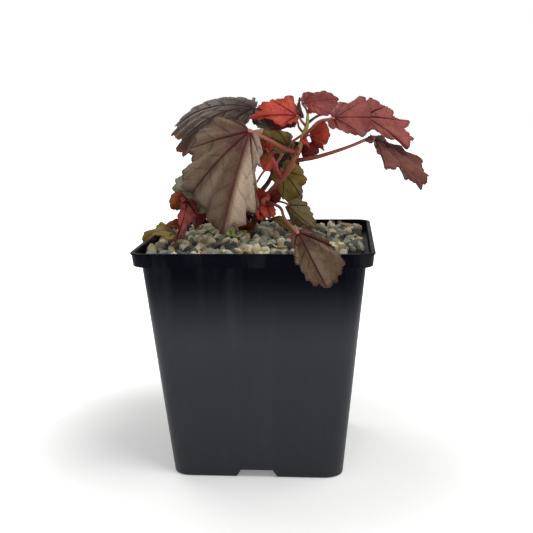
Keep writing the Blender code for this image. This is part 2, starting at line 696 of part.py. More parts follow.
def make_leaf(name, leaf):
    """A thin closed blade: rings from the stalk to the margin, above and below."""
    margin = outline(leaf["kind"], leaf["breadth"], leaf.get("heel", 1))
    count = len(margin)
    flats = [Vector((0, 0))] + [edge * ring / LEAF_RINGS for ring in range(1, LEAF_RINGS + 1) for edge in margin]
    middle = [bent(leaf, flat) for flat in flats]
    faces = [(0, 1 + index, 2 + index) for index in range(count - 1)]
    for ring in range(LEAF_RINGS - 1):
        inner, outer = 1 + ring * count, 1 + (ring + 1) * count
        for index in range(count - 1):
            faces.append((inner + index, outer + index, outer + index + 1, inner + index + 1))
    normals = [Vector((0, 0, 0)) for _ in middle]
    for face in faces:
        corners = [middle[index] for index in face]
        normal = (corners[1] - corners[0]).cross(corners[2] - corners[0]).normalized()
        for index in face:
            normals[index] += normal
    shift = [normal.normalized() * LEAF_THICKNESS / 2 for normal in normals]
    points = [place + step for place, step in zip(middle, shift)]
    points += [place - step for place, step in zip(middle, shift)]
    under = len(middle)
    faces += [tuple(under + index for index in reversed(face)) for face in faces]
    rim = [0] + [1 + ring * count for ring in range(LEAF_RINGS)]
    rim += [1 + (LEAF_RINGS - 1) * count + index for index in range(1, count)]
    rim += [ring * count for ring in range(LEAF_RINGS - 1, 0, -1)]
    for first, second in zip(rim, rim[1:] + rim[:1]):
        faces.append((first, second, under + second, under + first))
    mesh_object(name, points, faces, material(leaf["colour"], COLOURS[leaf["colour"]]))


def stalk_end(stalk):
    """Where a stalk stops short of its leaf, and a point before it that sets the way it comes in."""
    base, run, up, _, _ = blade_frame(LEAVES[stalk["leaf"]])
    arch = math.radians(LEAVES[stalk["leaf"]]["arch"])
    ahead = run * math.cos(arch / 2) + up * math.sin(arch / 2)
    rises = up * math.cos(arch / 2) - run * math.sin(arch / 2)
    back = CLEARANCE + STALK_END_ROOM + stalk["radii"][1] * 0.7
    if stalk["under"]:
        way = (rises * stalk["under"] + ahead).normalized()
        return base - rises * (back + LEAF_THICKNESS) - ahead * 0.4, way
    return base - ahead * back, ahead


def make_stalk(name, stalk, carriers):
    route, radii = carriers[stalk["from"].removesuffix(" end")]
    via = [Vector(point) for point in stalk["via"]]
    last, way = stalk_end(stalk)
    first_aim = via[0] if via else last
    if stalk["from"] == "knot":
        start = turned_knot(first_aim - Vector(KNOT_CENTRE), CLEARANCE)
        out = (start - Vector(KNOT_CENTRE)).normalized()
    elif stalk["from"].endswith(" end"):
        out = (route[-1] - route[-2]).normalized()
        start = route[-1] + out * CLEARANCE
    else:
        place, along, share = nearest_on(route, Vector(stalk["at"]))
        out = first_aim - place
        out = (out - along * out.dot(along)).normalized()
        start = place + out * (mixed(radii, share) + CLEARANCE)
    points = [start, start + out * 1.0, *via, last - way * 1.0, last]
    if (last - start).length < 3.2:
        points = [start, last]
        out = way = None
    length = sum((after - before).length for before, after in zip(points, points[1:]))
    steps = max(3, min(9, int(length / 4) + 3))
    route = smooth_route(points, steps)
    tapered_rod(name, route, stalk["radii"], STALK_SIDES, material("leaf stalk", MAROON), out, way)


def make_stems():
    """The stem, leader, branch and side shoots; returns the routes that stalks start from."""
    bark = material("red-brown bark", BARK)
    stem = [Vector(point) for point in STEM_ROUTE]
    stem[-1] = turned_knot(stem[-1] - Vector(KNOT_CENTRE), KNOT_ROOM)
    leader = from_knot(LEADER_ROUTE)
    branch = from_knot(BRANCH_ROUTE)
    carriers = {
        "stem": (smooth_route(stem, 9), STEM_RADII),
        "leader": (smooth_route(leader, 19), LEADER_RADII),
        "branch": (smooth_route(branch, 9), BRANCH_RADII),
        "knot": ([Vector(KNOT_CENTRE)] * 2, (0, 0)),
    }
    knot = Vector(KNOT_CENTRE)
    vertical = Vector((0, 0, 1))
    tapered_rod("main_stem", *carriers["stem"], STEM_SIDES, bark, vertical, knot - stem[-1])
    tapered_rod("leading_stem", *carriers["leader"], STEM_SIDES, bark, leader[0] - knot)
    dark_bark = material("dark bark", MAROON)
    tapered_rod("branch_behind", *carriers["branch"], STEM_SIDES, dark_bark, branch[0] - knot)

    place, along, share = nearest_on(carriers["leader"][0], Vector(RED_SHOOT_FOOT))
    out = Vector(RED_SHOOT_ROUTE[0]) - place
    out = (out - along * out.dot(along)).normalized()
    start = place + out * (mixed(LEADER_RADII, share) + CLEARANCE)
    carriers["red shoot"] = (smooth_route([start, start + out, *RED_SHOOT_ROUTE], 8), RED_SHOOT_RADII)
    red = material("red shoot", RED)
    tapered_rod("red_side_shoot", *carriers["red shoot"], STALK_SIDES, red, out)

    left = from_knot((LEFT_SHOOT_ROUTE[0], *LEFT_SHOOT_ROUTE))
    carriers["left shoot"] = (smooth_route(left, 10), LEFT_SHOOT_RADII)
    maroon = material("leaf stalk", MAROON)
    tapered_rod("left_side_shoot", *carriers["left shoot"], STALK_SIDES, maroon, left[0] - knot)
    return carriers


def make_foot():
    """The green shoot and the cut stub beside the foot of the stem."""
    ground = MIX_TOP - 0.1
    green = smooth_route([(-9.5, 12.6, ground), (-9.1, 12.6, 103), (-8.6, 12.6, 104.6)], 4)
    tapered_rod("foot_shoot", green, (1.5, 1.2, 0.6), STALK_SIDES, material("green shoot", COLOURS["green shoot"]))
    stub = smooth_route([(-12.6, 14.5, ground), (-13.4, 13.5, 104.5), (-14.6, 12, 109)], 4)
    tapered_rod("cut_stub", stub, (1.1, 0.9, 0.8), STALK_SIDES, material("cut wood", COLOURS["cut wood"]))


def main():
    clear_scene()
    make_pot()
    make_growing_mix()
    carriers = make_stems()
    make_knot()
    make_foot()
    for name, stalk in STALKS.items():
        make_stalk(name, stalk, carriers)
    for name, leaf in LEAVES.items():
        make_leaf(name, leaf)


main()
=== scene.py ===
import math
import random

import bmesh
import bpy
import numpy as np
from mathutils import Matrix, Vector, noise


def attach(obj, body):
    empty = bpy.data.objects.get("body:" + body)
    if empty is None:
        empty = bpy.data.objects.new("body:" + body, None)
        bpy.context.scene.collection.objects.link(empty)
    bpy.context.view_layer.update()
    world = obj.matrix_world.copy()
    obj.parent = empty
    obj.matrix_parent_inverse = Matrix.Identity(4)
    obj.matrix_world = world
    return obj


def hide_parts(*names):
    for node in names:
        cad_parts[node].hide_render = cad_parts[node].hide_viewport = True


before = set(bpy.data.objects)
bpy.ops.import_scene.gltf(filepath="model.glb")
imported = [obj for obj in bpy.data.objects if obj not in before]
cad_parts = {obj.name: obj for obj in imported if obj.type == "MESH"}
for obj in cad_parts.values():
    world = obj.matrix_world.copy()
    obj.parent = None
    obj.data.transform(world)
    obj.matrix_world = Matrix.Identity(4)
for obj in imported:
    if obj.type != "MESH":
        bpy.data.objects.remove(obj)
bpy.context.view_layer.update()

# Lengths are in millimetres unless a name says otherwise; the frame and the meshes are in metres.
mm = 0.001
sharpAngle = math.radians(60)


def colour(hexCode):
    # an sRGB hex value as linear red, green, blue and alpha
    channels = [int(hexCode[i:i + 2], 16) / 255 for i in (1, 3, 5)]
    return (*[c / 12.92 if c < 0.04045 else ((c + 0.055) / 1.055) ** 2.4 for c in channels], 1)


def connect(tree, node, links):
    # each source is an output, or a node whose first output is meant
    for key, source in dict(links).items():
        tree.links.new(source.outputs[0] if isinstance(source, bpy.types.Node) else source, node.inputs[key])


def addNode(tree, kind, settings=(), links=()):
    # a setting is an input by number or name, or else one of the node's own properties
    node = tree.nodes.new(kind)
    for key, value in dict(settings).items():
        if isinstance(key, int) or key in node.inputs:
            node.inputs[key].default_value = value
        else:
            setattr(node, key, value)
    connect(tree, node, links)
    return node


def newMaterial(name, settings):
    made = bpy.data.materials.new(name)
    made.use_nodes = True
    shader = made.node_tree.nodes["Principled BSDF"]
    for key, value in settings.items():
        shader.inputs[key].default_value = value
    return made, made.node_tree, shader


def newObject(name, data):
    made = bpy.data.objects.new(name, data)
    bpy.context.scene.collection.objects.link(made)
    return made


def newPiece(name, points, faces, look, attributes=()):
    # points in millimetres; the object stays at the origin with its place in the mesh
    mesh = bpy.data.meshes.new(name)
    mesh.from_pydata((np.asarray(points, float) * mm).tolist(), [], faces)
    shape = bmesh.new()
    shape.from_mesh(mesh)
    bmesh.ops.recalc_face_normals(shape, faces=shape.faces)
    shape.to_mesh(mesh)
    shape.free()
    for key, values in dict(attributes).items():
        mesh.attributes.new(key, "FLOAT", "POINT").data.foreach_set("value", np.asarray(values, np.float32))
    mesh.materials.append(look)
    mesh.shade_smooth()
    mesh.set_sharp_from_angle(angle=sharpAngle)
    return newObject(name, mesh)


def finishedMesh(thing):
    # a plain mesh of the object with its modifiers applied
    return bpy.data.meshes.new_from_object(thing.evaluated_get(bpy.context.evaluated_depsgraph_get()))


def ringFaces(rings, sides):
    # four-sided faces between rings of points that follow one another
    faces = []
    for ring in range(rings - 1):
        for side in range(sides):
            here, beside = ring * sides + side, ring * sides + (side + 1) % sides
            faces.append((here, beside, beside + sides, here + sides))
    return faces


def smoothRoute(points, count):
    # evenly spaced points on a smooth curve through the given ones
    points = [Vector(point) for point in points]
    ends = [points[0] * 2 - points[1], *points, points[-1] * 2 - points[-2]]
    finer = 16
    fine = []
    for a, b, c, d in zip(ends, ends[1:], ends[2:], ends[3:]):
        for step in range(finer):
            t = step / finer
            bend = (c - a) * t + (2 * a - 5 * b + 4 * c - d) * t * t
            fine.append(0.5 * (2 * b + bend + (3 * b - a - 3 * c + d) * t**3))
    fine.append(points[-1])
    run = [0.0]
    for before, after in zip(fine, fine[1:]):
        run.append(run[-1] + (after - before).length)
    route = []
    place = 0
    for step in range(count):
        goal = run[-1] * step / (count - 1)
        while place < len(run) - 2 and run[place + 1] < goal:
            place += 1
        share = (goal - run[place]) / max(run[place + 1] - run[place], 1e-9)
        route.append(fine[place].lerp(fine[place + 1], share))
    return route


def mixed(values, share):
    # the value at a share of the way along a list
    place = share * (len(values) - 1)
    low = min(int(place), len(values) - 2)
    return values[low] + (values[low + 1] - values[low]) * (place - low)


# stage

cameraView = {
    "place": (38.692, -437.259, 174.495), "yaw": 4.743, "pitch": 10.934, "roll": -0.781,
    "lens": 63.42, "sensor": 36, "near": 10,
}
studio = {
    # strength of the white room's light near the horizon and overhead; between them it fades as a
    # direction rises, where 0 is level and 1 straight up
    "horizon": 1.0, "overhead": 0.26, "fadeFrom": 0.26, "fadeTo": 0.5,
    # place and watts of each softbox
    "softboxes": {"softbox above": ((280, -220, 750), 3.84), "softbox back": ((-350, 400, 600), 1.44)},
    "softboxSize": 450, "aim": (0, 0, 100),
    # the floor's painted glow grows between clearFrom and clearAt away from the pot
    "floor": "#efefee", "floorLevel": -0.1, "floorReach": 3000,
    "clearFrom": 70, "clearAt": 240, "glowNear": 0.2, "glowFar": 1.0,
}


def makeStudio():
    yaw, pitch, roll = (math.radians(cameraView[key]) for key in ("yaw", "pitch", "roll"))
    ahead = Vector((-math.sin(yaw) * math.cos(pitch), math.cos(yaw) * math.cos(pitch), -math.sin(pitch)))
    right = Vector((math.cos(yaw), math.sin(yaw), 0))
    up = right.cross(ahead)
    turnedRight = right * math.cos(roll) + up * math.sin(roll)
    turnedUp = up * math.cos(roll) - right * math.sin(roll)
    lens = bpy.data.cameras.new("camera")
    lens.lens = cameraView["lens"]
    lens.sensor_width = cameraView["sensor"]
    lens.clip_start = cameraView["near"] * mm
    camera = newObject("camera", lens)
    axes = Matrix((turnedRight, turnedUp, -ahead)).transposed().to_4x4()
    camera.matrix_world = Matrix.Translation(Vector(cameraView["place"]) * mm) @ axes
    bpy.context.scene.camera = camera
    bpy.context.scene.view_settings.view_transform = "Standard"

    # a white room, dimmer overhead, where the softboxes take over
    world = bpy.data.worlds.new("white room")
    world.use_nodes = True
    tree = world.node_tree
    way = addNode(tree, "ShaderNodeTexCoord").outputs["Generated"]
    parts = addNode(tree, "ShaderNodeSeparateXYZ", (), {0: way})
    light = addNode(tree, "ShaderNodeMapRange", {
        1: studio["fadeFrom"], 2: studio["fadeTo"], 3: studio["horizon"], 4: studio["overhead"],
    }, {0: parts.outputs[2]})
    sky = tree.nodes["Background"]
    connect(tree, sky, {"Strength": light})
    sky.inputs["Color"].default_value = (1, 1, 1, 1)
    bpy.context.scene.world = world

    for name, (place, watts) in studio["softboxes"].items():
        light = bpy.data.lights.new(name, "AREA")
        light.size = studio["softboxSize"] * mm
        light.energy = watts
        lamp = newObject(name, light)
        lamp.location = Vector(place) * mm
        lamp.rotation_euler = (Vector(studio["aim"]) - Vector(place)).to_track_quat("-Z", "Y").to_euler()

    # matt board with a painted glow, an emission that grows away from the pot: a ground that fades into the white room
    board, tree, shader = newMaterial("matt board with painted glow", {
        "Base Color": colour(studio["floor"]), "Roughness": 0.9, "Emission Color": (1, 1, 1, 1)})
    place = addNode(tree, "ShaderNodeTexCoord").outputs["Object"]
    away = addNode(tree, "ShaderNodeVectorMath", {"operation": "LENGTH"}, {0: place})
    # painted glow: weak round the pot, full further out
    clear = addNode(tree, "ShaderNodeMapRange", {
        "interpolation_type": "SMOOTHSTEP", 1: studio["clearFrom"] * mm, 2: studio["clearAt"] * mm,
        3: studio["glowNear"], 4: studio["glowFar"],
    }, {0: away.outputs["Value"]})
    connect(tree, shader, {"Emission Strength": clear})
    reach, level = studio["floorReach"], studio["floorLevel"]
    corners = [(x * reach, y * reach, level) for x, y in ((-1, -1), (1, -1), (1, 1), (-1, 1))]
    floor = newPiece("floor", corners, [(0, 1, 2, 3)], board)


# pot

pot = {
    "height": 105.0, "halfWidth": 52.5, "baseHalfWidth": 38.8, "shoulderHalfWidth": 48.7,
    "bandHeight": 6.1, "wall": 1.3, "floor": 1.6, "bodyCorner": 8.6, "rimCorner": 7.0, "cornerSteps": 14,
    "notchWidth": 20.0, "notchTopWidth": 14.4, "notchHeight": 3.4, "notchDepth": 12.0, "roof": 1.3,
    "drainLength": 8.0, "drainWidth": 3.0, "sharpAngle": 32,
    # the wall is black down to one height and a lighter grey below another: painted shade under the rim, painted light
    # lower down
    "black": "#03040b", "paintedLight": "#2e2f31", "dust": "#404143", "blackDownTo": 96, "paintedLightBelow": 62,
    # place and width of the two parting lines on the rim band, in front of bandFront
    "partingLines": ((-23.4, 0.18), (-16.7, 0.14)), "bandFront": -50.5,
}


def potMaterial():
    # injection-moulded polypropylene: near black, a satin skin with faint flow streaks and handling dust, with painted
    # shade darkening it towards the rim
    look, tree, shader = newMaterial("moulded black polypropylene", {
        "Metallic": 0.0, "Specular Tint": colour("#dde6ff")})
    place = addNode(tree, "ShaderNodeTexCoord").outputs["Object"]
    axes = addNode(tree, "ShaderNodeSeparateXYZ", (), {0: place})
    # upright streaks about 11 mm wide, and a skin with a grain of about 0.6 mm
    streaks = addNode(tree, "ShaderNodeMapping", {"Scale": (1, 1, 0.12)}, {"Vector": place})
    flow = addNode(tree, "ShaderNodeTexNoise", {"Scale": 90, "Detail": 5, "Roughness": 0.6}, {"Vector": streaks})
    skin = addNode(tree, "ShaderNodeTexNoise", {"Scale": 1800, "Detail": 2}, {"Vector": place})
    # painted shade and light: black and barely reflective under the rim, as if shaded by it, and a lighter grey that
    # reflects more lower down
    lower = addNode(tree, "ShaderNodeMapRange", {
        "interpolation_type": "SMOOTHSTEP", 1: pot["blackDownTo"] * mm, 2: pot["paintedLightBelow"] * mm, 3: 0.0, 4: 1.0,
    }, {0: axes.outputs[2]})
    shine = addNode(tree, "ShaderNodeMapRange", {3: 0.03, 4: 0.12}, {0: lower})
    paintedLight = addNode(tree, "ShaderNodeMix", {
        "data_type": "RGBA", 6: colour(pot["black"]), 7: colour(pot["paintedLight"])}, {0: lower})
    dust = addNode(tree, "ShaderNodeMapRange", {1: 0.5, 2: 0.85, 3: 0.0, 4: 0.3}, {0: flow})
    tone = addNode(tree, "ShaderNodeMix", {"data_type": "RGBA", 7: colour(pot["dust"])},
                   {0: dust, 6: paintedLight.outputs[2]})
    gloss = addNode(tree, "ShaderNodeMapRange", {1: 0.3, 2: 0.75, 3: 0.34, 4: 0.52}, {0: flow})
    # the fine parting lines are cut into the skin
    lines = [addNode(tree, "ShaderNodeMath", {"operation": "COMPARE", 1: at * mm, 2: width * mm}, {0: axes})
             for at, width in pot["partingLines"]]
    both = addNode(tree, "ShaderNodeMath", {"operation": "ADD"}, dict(enumerate(lines)))
    front = addNode(tree, "ShaderNodeMath", {"operation": "LESS_THAN", 1: pot["bandFront"] * mm},
                    {0: axes.outputs[1]})
    cut = addNode(tree, "ShaderNodeMath", {"operation": "MULTIPLY"}, {0: both, 1: front})
    height = addNode(tree, "ShaderNodeMath", {"operation": "SUBTRACT"}, {0: skin, 1: cut})
    bump = addNode(tree, "ShaderNodeBump", {"Strength": 0.25, "Distance": 0.2 * mm}, {"Height": height})
    connect(tree, shader, {
        "Specular IOR Level": shine, "Base Color": tone.outputs[2], "Roughness": gloss, "Normal": bump})
    return look


def roundedSquare(halfWidth, corner, height):
    points = []
    for quarter in range(4):
        start = math.pi / 2 * quarter
        reach = (halfWidth - corner) * math.sqrt(2)
        middle = Vector((reach * math.cos(start + math.pi / 4), reach * math.sin(start + math.pi / 4)))
        for step in range(pot["cornerSteps"] + 1):
            angle = start + math.pi / 2 * step / pot["cornerSteps"]
            points.append((middle.x + corner * math.cos(angle), middle.y + corner * math.sin(angle), height))
    return points


def notchCorners(kind):
    # two levels of four corners each: the front wall's hood, the notch in it and the drain slot in its roof
    low, depth, height, roof = (pot[key] for key in ("baseHalfWidth", "notchDepth", "notchHeight", "roof"))
    if kind == "drain":
        middle = depth / 2 - low
        return [(x * pot["drainLength"] / 2, middle + y * pot["drainWidth"] / 2, z)
                for z in (height - 1, height + roof + 1) for x, y in ((-1, -1), (1, -1), (1, 1), (-1, 1))]
    # how much larger than the notch, where it starts, its underside and how far it goes in
    grow, face, base, reach = (roof, 0.6 - low, 0.4, depth) if kind == "hood" else (0, -low - 3, -1, depth + 1)
    wide, narrow = pot["notchWidth"] / 2 + grow, pot["notchTopWidth"] / 2 + grow
    return [(x, y, z) for y in (face, face + reach)
            for x, z in ((-wide, base), (wide, base), (narrow, height + grow), (-narrow, height + grow))]


def makePot():
    look = potMaterial()
    top, low, shoulder, wall = (pot[key] for key in ("height", "baseHalfWidth", "shoulderHalfWidth", "wall"))
    corner, lip = pot["bodyCorner"], pot["rimCorner"]
    bandBottom = top - pot["bandHeight"]
    band = pot["halfWidth"] - 0.5
    slope = low + (shoulder - low) * pot["floor"] / bandBottom
    # half width, corner radius and height: up the outside, over the rim and down the inside to the floor
    levels = [
        (low - 0.7, corner - 0.7, 0), (low - 0.2, corner - 0.2, 0.2), (low, corner, 0.7),
        (shoulder, corner, bandBottom),
        (band - 0.7, lip, bandBottom), (band - 0.5, lip, bandBottom + 0.25), (band, lip, top - 1.1),
        (band + 0.2, lip, top - 0.95), (band + 0.45, lip, top - 0.85), (band + 0.5, lip, top - 0.55),
        (band + 0.4, lip, top - 0.2), (band + 0.1, lip, top), (band - 1.1, lip - 0.8, top),
        (band - 1.3, lip - 1, top - 0.2), (band - 1.6, lip - 1, bandBottom + 1.4),
        (shoulder - wall, corner - 1, bandBottom + 1.0), (slope - wall, corner - 1, pot["floor"]),
    ]
    rings = [roundedSquare(*level) for level in levels]
    count = len(rings[0])
    faces = [tuple(range(count)), tuple(range(count * (len(rings) - 1), count * len(rings)))]
    faces += ringFaces(len(rings), count)
    body = newPiece("pot_shell", [point for ring in rings for point in ring], faces, look)
    block = [(0, 1, 2, 3), (4, 5, 6, 7)] + [(i, (i + 1) % 4, 4 + (i + 1) % 4, 4 + i) for i in range(4)]
    tools = []
    for side in range(4):
        for kind in ("hood", "notch", "drain"):
            tool = newPiece(f"{kind}_{side}", notchCorners(kind), block, look)
            tool.rotation_euler.z = math.pi / 2 * side
            step = body.modifiers.new(tool.name, "BOOLEAN")
            step.operation = "UNION" if kind == "hood" else "DIFFERENCE"
            step.object = tool
            step.solver = "EXACT"
            tools.append(tool)
    finished = finishedMesh(body)
    for thing in (*tools, body):
        bpy.data.objects.remove(thing, do_unlink=True)
    finished.materials.clear()
    finished.materials.append(look)
    finished.shade_smooth()
    finished.set_sharp_from_angle(angle=math.radians(pot["sharpAngle"]))
    piece = newObject("pot_moulded", finished)
    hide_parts("pot")
    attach(piece, "root")


# growing mix and grit

grit = {
    "halfWidth": 46.4, "corner": 5, "level": 101.0, "layers": (0.0, 1.7), "unevenness": 0.5,
    "spacing": 4.1, "tries": 9000, "gaps": 0.2, "seed": 11,
    # half a grain's width, and between which limits it is stretched each way
    "smallest": 1.6, "largest": 3.0, "shortest": (0.75, 0.75, 0.7), "longest": (1.25, 1.2, 1.05),
    # colour and share of each tone
    "tones": {"cream": ("#cbbf9e", 5), "light_grey": ("#a5a28e", 6), "grey_green": ("#7f8070", 6),
              "slate": ("#56564c", 5), "tan": ("#94815f", 3), "dark": ("#302e27", 2)},
    # place and radius of the spots without grit: at the front corners and round the stems
    "bare": ((44, -40, 10.0), (46, -27, 8.0), (-46, -45, 4.5), (-7, 17, 2.6), (-9.3, 12.6, 2.0), (-12.6, 14.5, 1.7)),
}


def pebble(name, seed):
    # an angular grain of about 40 faces
    dice = random.Random(seed)
    shape = bmesh.new()
    corners = 22
    for index in range(corners):
        rise = 1 - 2 * (index + 0.5) / corners
        turn = index * 2.4 + dice.uniform(-0.25, 0.25)
        flat = math.sqrt(1 - rise * rise)
        size = dice.uniform(0.86, 1.08)
        shape.verts.new(Vector((flat * math.cos(turn) * 1.12, flat * math.sin(turn), rise * 0.82)) * size * mm)
    hull = bmesh.ops.convex_hull(shape, input=shape.verts)
    inner = [part for part in hull["geom_interior"] if isinstance(part, bmesh.types.BMVert)]
    bmesh.ops.delete(shape, geom=inner, context="VERTS")
    bmesh.ops.recalc_face_normals(shape, faces=shape.faces)
    mesh = bpy.data.meshes.new(name)
    shape.to_mesh(mesh)
    shape.free()
    mesh.shade_smooth()
    mesh.set_sharp_from_angle(angle=math.radians(38))
    return newObject(name, mesh)


def scatterTree():
    # sets a turned, unevenly stretched copy of a pebble on every point
    tree = bpy.data.node_groups.new("scattered grit", "GeometryNodeTree")
    sockets = {"Geometry": "Geometry", "Pebble": "Object", "Smallest": "Float", "Largest": "Float",
               "Seed": "Int", "Material": "Material"}
    keys = {}
    for key, kind in sockets.items():
        keys[key] = tree.interface.new_socket(key, in_out="INPUT", socket_type="NodeSocket" + kind).identifier
    tree.interface.new_socket("Geometry", in_out="OUTPUT", socket_type="NodeSocketGeometry")
    given = addNode(tree, "NodeGroupInput").outputs
    shape = addNode(tree, "GeometryNodeObjectInfo", (), {"Object": given["Pebble"]})
    size = addNode(tree, "FunctionNodeRandomValue", {"data_type": "FLOAT"}, {
        2: given["Smallest"], 3: given["Largest"], 8: given["Seed"]})
    stretch = addNode(tree, "FunctionNodeRandomValue", {
        "data_type": "FLOAT_VECTOR", 0: grit["shortest"], 1: grit["longest"]}, {8: given["Seed"]})
    scale = addNode(tree, "ShaderNodeVectorMath", {"operation": "SCALE"}, {0: stretch, 3: size.outputs[1]})
    tumble = addNode(tree, "FunctionNodeRandomValue", {
        "data_type": "FLOAT_VECTOR", 0: (0, 0, 0), 1: (6.28, 6.28, 6.28)}, {8: given["Seed"]})
    turn = addNode(tree, "FunctionNodeEulerToRotation", (), {0: tumble})
    stones = addNode(tree, "GeometryNodeInstanceOnPoints", (), {
        "Points": given["Geometry"], "Instance": shape.outputs["Geometry"],
        "Rotation": turn, "Scale": scale})
    real = addNode(tree, "GeometryNodeRealizeInstances", (), {0: stones})
    dressed = addNode(tree, "GeometryNodeSetMaterial", (), {"Geometry": real, "Material": given["Material"]})
    addNode(tree, "NodeGroupOutput", (), {0: dressed})
    return tree, keys


def dressSoil():
    # damp peat and bark fines under the grit: dark, rough and crumbly, with crumbs of about 1.5 mm
    soil, tree, shader = newMaterial("damp peat mix", {"Roughness": 0.95, "Specular IOR Level": 0.2})
    place = addNode(tree, "ShaderNodeTexCoord").outputs["Object"]
    crumbs = addNode(tree, "ShaderNodeTexVoronoi", {"Scale": 650}, {"Vector": place})
    fines = addNode(tree, "ShaderNodeTexNoise", {"Scale": 1200, "Detail": 6}, {"Vector": place})
    tone = addNode(tree, "ShaderNodeMix", {
        "data_type": "RGBA", 6: colour("#191410"), 7: colour("#3b3026")}, {0: fines})
    bump = addNode(tree, "ShaderNodeBump", {"Strength": 0.9, "Distance": 1.2 * mm}, {"Height": crumbs})
    connect(tree, shader, {"Base Color": tone.outputs[2], "Normal": bump})
    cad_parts["growing_mix"].material_slots[0].material = soil


def rockMaterial(tone, hexCode):
    # crushed rock: a dry matt face with a fine grainy tooth of about 0.7 mm
    rock, tree, shader = newMaterial(f"crushed rock {tone}", {"Base Color": colour(hexCode), "Roughness": 0.88})
    place = addNode(tree, "ShaderNodeTexCoord").outputs["Object"]
    grain = addNode(tree, "ShaderNodeTexNoise", {"Scale": 1500, "Detail": 4}, {"Vector": place})
    bump = addNode(tree, "ShaderNodeBump", {"Strength": 0.5, "Distance": 0.4 * mm}, {"Height": grain})
    connect(tree, shader, {"Normal": bump})
    return rock


def gritSpots():
    # places on the mix for the grains of each tone, in layers, none closer than the spacing
    dice = random.Random(grit["seed"])
    tones = [tone for tone, (_, share) in grit["tones"].items() for _ in range(share)]
    spots = {tone: [] for tone in grit["tones"]}
    half, corner = grit["halfWidth"], grit["corner"]
    inner = half - corner
    for layer, lift in enumerate(grit["layers"]):
        taken = []
        for _ in range(grit["tries"]):
            x, y = dice.uniform(-half, half), dice.uniform(-half, half)
            if abs(x) > inner and abs(y) > inner and Vector((abs(x) - inner, abs(y) - inner)).length > corner:
                continue
            if any((x - a) ** 2 + (y - b) ** 2 < r * r for a, b, r in grit["bare"]):
                continue
            if layer and dice.random() < grit["gaps"]:
                continue
            if any((x - a) ** 2 + (y - b) ** 2 < grit["spacing"] ** 2 for a, b in taken):
                continue
            taken.append((x, y))
            tone = dice.choice(tones)
            height = grit["level"] + lift + dice.uniform(-grit["unevenness"], grit["unevenness"])
            spots[tone].append((x, y, height))
    return spots


def makeGrit():
    dressSoil()
    spots = gritSpots()
    tree, keys = scatterTree()
    for index, (tone, (hexCode, _)) in enumerate(grit["tones"].items()):
        rock = rockMaterial(tone, hexCode)
        grain = pebble(f"grain_{tone}", grit["seed"] + index)
        mesh = bpy.data.meshes.new(f"spots_{tone}")
        mesh.from_pydata([Vector(spot) * mm for spot in spots[tone]], [], [])
        holder = newObject(f"spots_{tone}", mesh)
        step = holder.modifiers.new("grit", "NODES")
        step.node_group = tree
        for key, value in (("Pebble", grain), ("Smallest", grit["smallest"]), ("Largest", grit["largest"]),
                           ("Seed", grit["seed"] + index), ("Material", rock)):
            step[keys[key]] = value
        stones = finishedMesh(holder)
        holder.modifiers.clear()
        bpy.data.objects.remove(holder, do_unlink=True)
        bpy.data.objects.remove(grain, do_unlink=True)
        piece = newObject(f"grit_{tone}", stones)
        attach(piece, "root")
